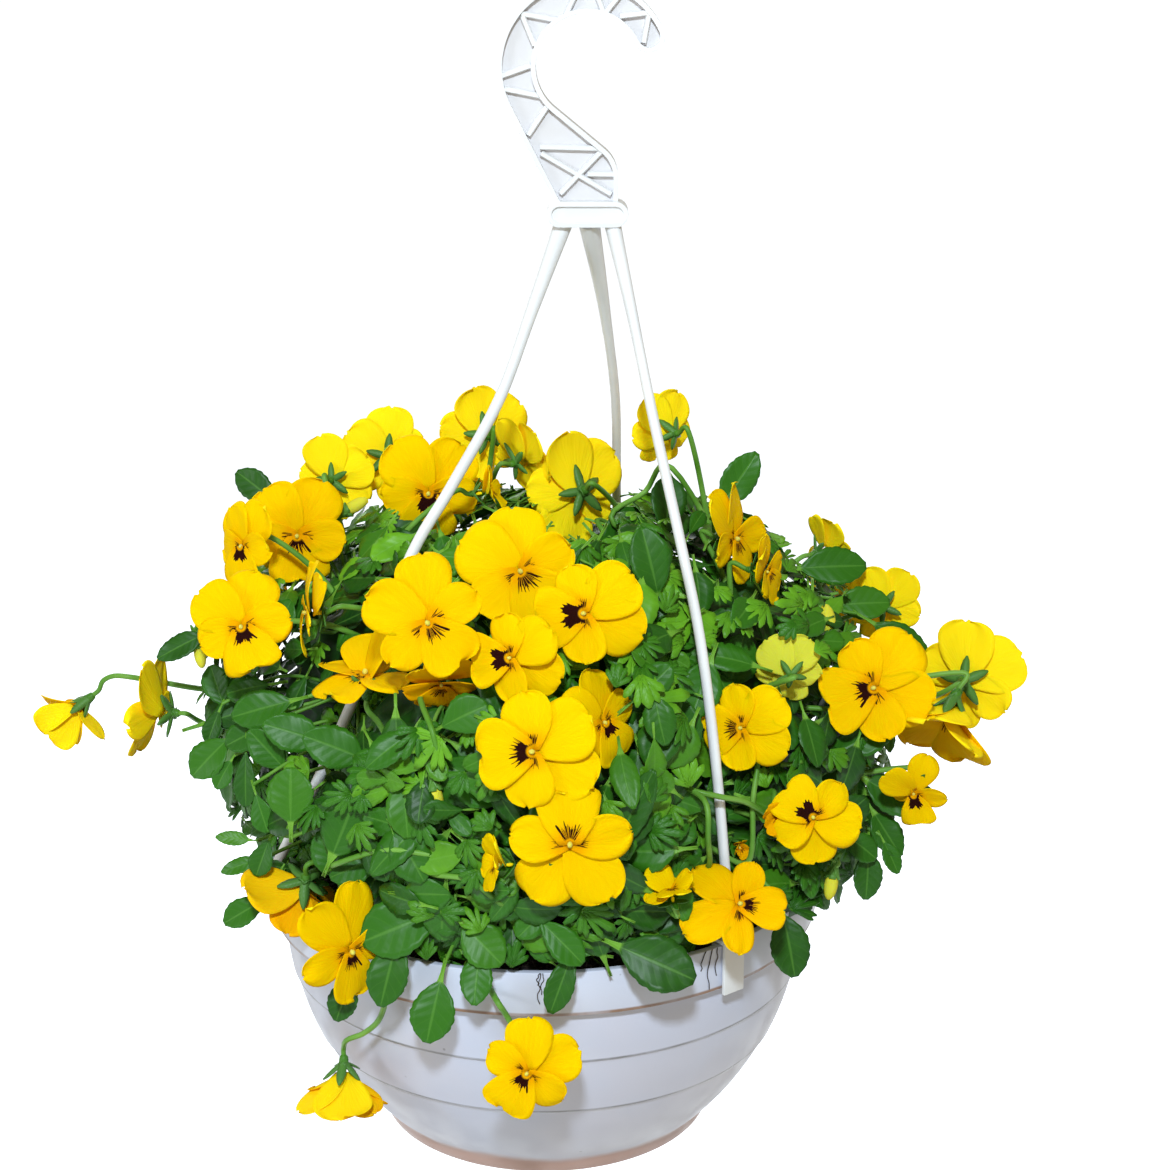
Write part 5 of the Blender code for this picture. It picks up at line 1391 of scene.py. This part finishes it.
def drawSpot(draw, edge, layer):
    # a place on the mound and a leaf that turns its face outwards, upwards and to the front light
    azimuth = edge - draw.uniform(0.5, 119.5)
    if layer["height"][1] > mound["high"] and draw.random() < crown["share"]:
        # the crown, where leaves stand up
        share = math.sqrt(draw.random())
        height = mound["centre"] + mound["halfHeight"] * crown["height"]
        reach = moundReach(azimuth, height) * share
        height = height + crown["rise"] * (1 - share ** 2)
        outward = (radial(azimuth) * (0.25 + 0.55 * share) + Vector((0, 0, 0.9))).normalized()
    else:
        height = draw.uniform(*layer["height"])
        reach = moundReach(azimuth, height)
        lift = max(0, (height - mound["centre"]) / mound["halfHeight"]) ** 2
        outward = (radial(azimuth) * (1.05 - lift) + Vector((0, 0, 0.18 + 1.0 * lift))).normalized()
    surface = (radial(azimuth) * reach + Vector((0, 0, height))) * mm
    towards = max(0, math.cos(math.radians((azimuth + 180) % 360 - 180) * 0.62)) * lean["front"]
    spread = Vector([draw.uniform(-1, 1) * lean["spread"] for _ in range(3)])
    normal = (outward + Vector((0, -towards, lean["up"] * draw.uniform(0.3, 1))) + spread).normalized()
    across = Vector((0, 0, 1)).cross(normal).normalized()
    up = normal.cross(across).normalized()
    turn = draw.gauss(math.pi, lean["turnSpread"])
    axis = (up * math.cos(turn) + across * math.sin(turn) + outward * draw.uniform(0.05, 0.35)).normalized()
    length = draw.uniform(*layer["length"]) * mm
    deep = draw.uniform(*layer["depth"]) * mm
    stalk = leaves["stalk"] / leaves["usual"]["oval"] * length if layer["shape"] == "oval" else 0
    middle = surface - outward * deep
    root = middle - axis * (stalk + length * 0.5)
    return root, axis, normal, length, stalk, middle


def growLayer(draw, edge, layer, taken):
    # of a few places drawn for each leaf, takes the roomiest that hides no bloom or strap
    shape = layer["shape"]
    spots = []
    for _ in range(layer["count"]):
        best, bestRoom = None, 0
        for _ in range(leaves["tries"]):
            root, axis, normal, length, stalk, middle = drawSpot(draw, edge, layer)
            room = min(np.linalg.norm(np.array(taken) - np.array(middle), axis=1)) if taken else 1
            if room <= bestRoom:
                continue
            tip = root + axis * (stalk + length)
            low = root + axis * (stalk + length * 0.25)
            if hidesBloom(middle, length * 0.42) or hidesBloom(tip, length * 0.18):
                continue
            if not clearOfPot((middle, tip)) or meetsBloom((middle, tip, low)):
                continue
            best, bestRoom = (root, axis, normal, length, middle), room
        if not best:
            continue
        root, axis, normal, length, middle = best
        scale = length / leaves["usual"][shape]
        # painted light: higher leaves get a lighter tone
        paintedLightByHeight = min(1, max(0, (middle.z / mm - 110) / 130))
        tone = min(1, draw.uniform(*layer["tone"]) * (0.72 + 0.4 * paintedLightByHeight))
        pick = shapeNumbers[shape] + draw.randrange(len(leaves[shape]))
        size = (scale * draw.uniform(0.85, 1.12), scale, scale)
        spots.append(spot(root, basis(axis, normal), pick, size, tone))
        taken.append(tuple(middle))
    return spots


def tube(path, radius, growth=0.0):
    return path, [radius * (1 + growth * i / len(path)) for i in range(len(path))]


def rootHeight(height):
    return min(max(height, stems["rootLow"]), stems["rootHigh"])


def largeLeafSpots(number):
    # the listed leaves, each on a stalk that runs back into the mound
    draw = random.Random(400 + number)
    usual = leaves["usual"]["oval"]
    spots, tubes, taken = [], [], []
    for px, py, y, length, width, angle, tone in largeLeaves:
        centre = sightPoint(px, py, y * mm)
        if sectorOf(centre) != number:
            continue
        outward = Vector((centre.x, centre.y, 0)).normalized()
        axis = (pictureDirection(angle) + outward * 0.25).normalized()
        normal = (view["eye"] - centre).normalized() * 0.8 + outward * 0.3 + Vector((0, 0, 0.2))
        foot = centre - axis * (0.5 * length + leaves["stalk"] * length / usual) * mm
        pick = shapeNumbers["large"] + draw.randrange(len(leaves["large"]))
        size = (width / leaves["usualWidth"] * mm, length / usual * mm, length / usual * mm)
        spots.append(spot(foot, basis(axis, normal), pick, size, tone))
        neck = foot + axis * 2 * mm
        root = innerPoint(azimuthOf(neck), rootHeight(neck.z / mm + 6))
        middle = neck.lerp(root, 0.5) + Vector((0, 0, 3 * mm)) - axis * 4 * mm
        tubes.append(tube(smoothPath([neck, middle, root], 5), stems["stalk"] * mm))
        taken.append(tuple(centre))
    return spots, tubes, taken


def sepalSpots(name, matrix, span, tone, draw):
    # a green cup behind a bloom and five sepals that follow the backs of its petals
    scale = max(petals["leastScale"], span / (petals["span"] * mm))
    habit = bloomHabits.get(name, {})
    fold = math.radians(habit.get("fold", 40 if "folds" in habit else 0) + 4)
    back = petals["hubBack"] * mm
    spots = [spot(matrix @ Vector((0, 0, -back - 1.2 * mm)), matrix.to_3x3(), shapeNumbers["cup"],
                  [scale * mm] * 3, tone)]
    for k in range(5):
        swing = Matrix.Rotation(math.tau * (k + 0.5) / 5 + draw.uniform(-0.15, 0.15), 3, "Z")
        turn = matrix.to_3x3() @ swing @ Matrix.Rotation(fold + draw.uniform(-0.28, 0.12), 3, "X")
        foot = matrix @ (swing @ Vector((0, 1.4 * mm * scale, 0)) - Vector((0, 0, back - 0.4 * mm)))
        size = [scale * draw.uniform(0.9, 1.15) * mm] * 3
        spots.append(spot(foot, turn, shapeNumbers["sepal"], size, tone))
    return spots


def bloomStem(name, matrix):
    back = matrix.to_3x3() @ Vector((0, 0, -1))
    top = matrix @ Vector((0, 0, -(petals["hubBack"] + 2) * mm))
    if name in ledStems:
        led = [sightPoint(px, py, y * mm) for px, py, y in ledStems[name]]
        return smoothPath([top, top + back * 4 * mm] + led, 7)
    bend = top + back * 7 * mm + Vector((0, 0, 1.5 * mm))
    root = innerPoint(azimuthOf(top), rootHeight(top.z / mm - 26))
    knee = bend.lerp(root, 0.5) + Vector((0, 0, (bend - root).length * 0.10))
    return smoothPath([top, bend, knee, root], 6)


def leadInside(points):
    # a showing stem whose two ends sink into the mound
    ends = [innerPoint(azimuthOf(p), min(max(p.z / mm, 122), 218), 6) for p in (points[0], points[-1])]
    return smoothPath([points[0].lerp(ends[0], 0.8)] + points + [points[-1].lerp(ends[1], 0.8)], 6)


def budParts(px, py, y, length, angle):
    # middle and turn of a bud, and the way of its stem
    centre = sightPoint(px, py, y * mm)
    axis = pictureDirection(angle).normalized()
    tail = centre - axis * length * 0.5 * mm
    root = innerPoint(azimuthOf(tail), rootHeight(tail.z / mm))
    path = smoothPath([tail, tail - axis * 4 * mm, tail.lerp(root, 0.5) - axis * 3 * mm, root], 6)
    return centre, basis(axis.orthogonal(), axis), path


def budSepals(centre, turn, length):
    spots = []
    for k in range(5):
        swing = turn @ Matrix.Rotation(math.tau * k / 5, 3, "Z") @ Matrix.Rotation(-1.25, 3, "X")
        foot = centre - turn @ Vector((0, 0, length * 0.42 * mm)) + swing @ Vector((0, 0, -1.4 * mm))
        spots.append(spot(foot, swing, shapeNumbers["sepal"], [length / 13 * mm] * 3, 0.7))
    return spots


def shootTubes(draw, edge):
    # short arching shoots that show between the leaves
    tubes = []
    for _ in range(stems["shoots"]):
        azimuth = edge - draw.uniform(4, 116)
        height = draw.uniform(125, 225)
        out = moundReach(azimuth, height) - draw.uniform(8, 18)
        tip = (radial(azimuth) * out + Vector((0, 0, height))) * mm
        if hidesBloom(tip, 4 * mm) or not clearOfPot((tip,)):
            continue
        root = innerPoint(azimuth + draw.uniform(-14, 14), max(120, height - draw.uniform(5, 35)), 4)
        knee = root.lerp(tip, 0.55) + Vector((0, 0, draw.uniform(2, 8) * mm))
        tubes.append(tube(smoothPath([root, knee, tip], 6), draw.uniform(0.9, 1.5) * mm, -0.4))
    return tubes


def makePlant(number, shapes):
    edge, name = mound["edges"][number], mound["names"][number]
    title = name.capitalize()
    draw = random.Random(700 + number)
    spots, tubes, taken = largeLeafSpots(number)
    for layer in layers:
        spots += growLayer(draw, edge, layer, taken)
    tubes += shootTubes(draw, edge)
    for route in showingStems:
        points = [sightPoint(px, py, y * mm) for px, py, y in route]
        if sectorOf(points[1]) == number:
            tubes.append(tube(leadInside(points), stems["showing"] * mm))
    for bloom, matrix, span in places:
        if sectorOf(matrix.translation) == number:
            spots += sepalSpots(bloom, matrix, span, draw.uniform(0.3, 0.65), draw)
            tubes.append(tube(bloomStem(bloom, matrix), stems["radius"] * mm, stems["growth"]))
    for bud in buds:
        centre, turn, path = budParts(*bud)
        if sectorOf(centre) == number:
            tubes.append(tube(path, stems["bud"] * mm))
            spots += budSepals(centre, turn, bud[3])
    foliage = grown("foliage" + title, spotMesh("leafSpots", spots), scatterTree, {
        "Shapes": shapes, "Material": finishes["leaf"], "Size jitter": 0.05, "Seed": 40 + number})
    stalks = grown("stems" + title, curveData("stemRoutes", tubes), tubeTree, {
        "Material": finishes["stem"], "Sides": stems["sides"], "Flatness": 1.0})
    addPiece(foliage, "foliage", "plant_" + name)
    addPiece(stalks, "foliage")
    print("plant", title, "shapes", len(spots), "stems", len(tubes))


leafCollection = shapeCollection("leaf", leafShapes())
for number in range(3):
    makePlant(number, leafCollection)


def makeBuds():
    spots = []
    for bud in buds:
        centre, turn, _ = budParts(*bud)
        length, width = bud[3] * 0.5 * mm, bud[3] * 0.23 * mm
        spots.append(spot(centre, turn, 0, (width, width, length), 1.85))
    shape = ovoid((1, 1, 1), (0, 0, 0), 0, 8, 10)
    piece = grown("buds", spotMesh("budSpots", spots), scatterTree, {
        "Shapes": shapeCollection("bud", [shape]), "Material": finishes["petal"]})
    return addPiece(piece, "petal_yellow")


makeBuds()


# dried root threads that hang over the lip: pixel of the top, length in mm
threads = {"tops": ((541, 976, 13), (545, 978, 9), (711, 958, 17), (716, 956, 12), (706, 960, 8),
                    (396, 955, 10), (538, 980, 5)),
           "radius": 0.20, "steps": 6, "seed": 9, "sides": 5}


def rimPoint(px, py):
    # where the sight of a pixel meets the front of the rim, found by coming nearer a few times
    y = -112 * mm
    for _ in range(5):
        point = sightPoint(px, py, y)
        y = -math.sqrt((pot["rim"] * mm) ** 2 - point.x ** 2)
    return point


def makeThreads():
    draw = random.Random(threads["seed"])
    tubes = []
    for px, py, length in threads["tops"]:
        azimuth = azimuthOf(rimPoint(px, py))
        points = []
        for k in range(threads["steps"] + 1):
            azimuth += draw.uniform(-0.5, 0.5)
            drop = length * k / threads["steps"]
            reach = pot["rim"] + 0.25 - 0.4 * drop / 18     # the lip's face leans in a little
            points.append((radial(azimuth) * reach + Vector((0, 0, pot["height"] + 0.1 - drop))) * mm)
        tubes.append(tube(smoothPath(points, 3), threads["radius"] * mm))
    piece = grown("rootThreads", curveData("threadRoutes", tubes), tubeTree, {
        "Material": finishes["soil"], "Sides": threads["sides"], "Flatness": 1.0})
    return addPiece(piece, "soil")


makeThreads()
for name in ("petal", "leaf", "crumb", "rib", "bud"):
    for spare in list(bpy.data.collections[name].objects):
        bpy.data.objects.remove(spare, do_unlink=True)
    bpy.data.collections.remove(bpy.data.collections[name])
print("foliage made")


# stage, light and camera
stage = {"floor": -0.35, "size": 60, "paper": colour(0.92, 0.92, 0.92), "roughness": 0.9,
         "glow": colour(0.74, 0.84, 1.0), "glowStrength": 0.88,
         "sky": colour(1.0, 0.87, 0.62), "skyStrength": 0.43, "white": colour(1, 1, 1)}
lamps = {"key": {"place": (-0.03, -1.40, 1.24), "aim": (0, 0, 0.16), "size": 0.12, "power": 29.5,
                 "tint": (0.77, 0.90, 1.0)},
         "low": {"place": (0.05, -1.05, -0.20), "aim": (0, 0, 0.03), "size": 0.4, "power": 1.2,
                 "tint": (0.70, 0.86, 1.0)},
         "side": {"place": (-1.20, -0.85, 0.50), "aim": (0, 0, 0.16), "size": 0.4, "power": 6.0,
                  "tint": (0.84, 0.93, 1.0)},
         "rim": {"place": (-0.5, 1.45, 1.05), "aim": (0, 0, 0.16), "size": 0.9, "power": 19,
                 "tint": (0.90, 0.95, 1.0)}}


def makeFloor():
    bpy.ops.mesh.primitive_plane_add(size=stage["size"], location=(0, 0, stage["floor"]))
    floor = bpy.context.object
    floor.name = "paleFloor"
    material = bpy.data.materials.new("palePaper")
    material.use_nodes = True
    shader = material.node_tree.nodes["Principled BSDF"]
    shader.inputs["Base Color"].default_value = stage["paper"]
    shader.inputs["Roughness"].default_value = stage["roughness"]
    shader.inputs["Emission Color"].default_value = stage["glow"]
    shader.inputs["Emission Strength"].default_value = stage["glowStrength"]
    floor.data.materials.append(material)
    floor.visible_diffuse = False     # its glow stays off the part, so shadows keep their depth


def makeLight(name, place, aim, size, power, tint):
    data = bpy.data.lights.new(name, "AREA")
    data.size = size
    data.energy = power
    data.color = tint
    lamp = linked(name, data)
    lamp.location = place
    lamp.rotation_euler = (Vector(aim) - Vector(place)).to_track_quat("-Z", "Y").to_euler()


def makeWorld():
    # the room lights the part warmly and shows as plain white past the floor's edge
    world = bpy.data.worlds.new("softRoom")
    world.use_nodes = True
    tree = world.node_tree
    back = tree.nodes["Background"]
    back.inputs["Color"].default_value = stage["sky"]
    back.inputs["Strength"].default_value = stage["skyStrength"]
    white = shaderNode(tree, "ShaderNodeBackground", {"Color": stage["white"], "Strength": 1.0})
    seen = shaderNode(tree, "ShaderNodeLightPath").outputs["Is Camera Ray"]
    either = shaderNode(tree, "ShaderNodeMixShader", {0: seen, 1: back.outputs[0], 2: white.outputs[0]})
    tree.links.new(either.outputs[0], tree.nodes["World Output"].inputs["Surface"])
    bpy.context.scene.world = world


def makeCamera():
    data = bpy.data.cameras.new("camera")
    data.sensor_width = view["sensor"]
    data.lens = view["sensor"] * view["scale"] / view["pixels"]
    data.clip_end = view["farthest"]
    camera = linked("camera", data)
    camera.location = view["eye"]
    camera.rotation_euler = (math.pi / 2 - view["pitch"], 0, 0)
    bpy.context.scene.camera = camera


makeFloor()
makeWorld()
for name, lamp in lamps.items():
    makeLight(name, **lamp)
makeCamera()
bpy.context.scene.view_settings.view_transform = "Standard"

print("scene ready")
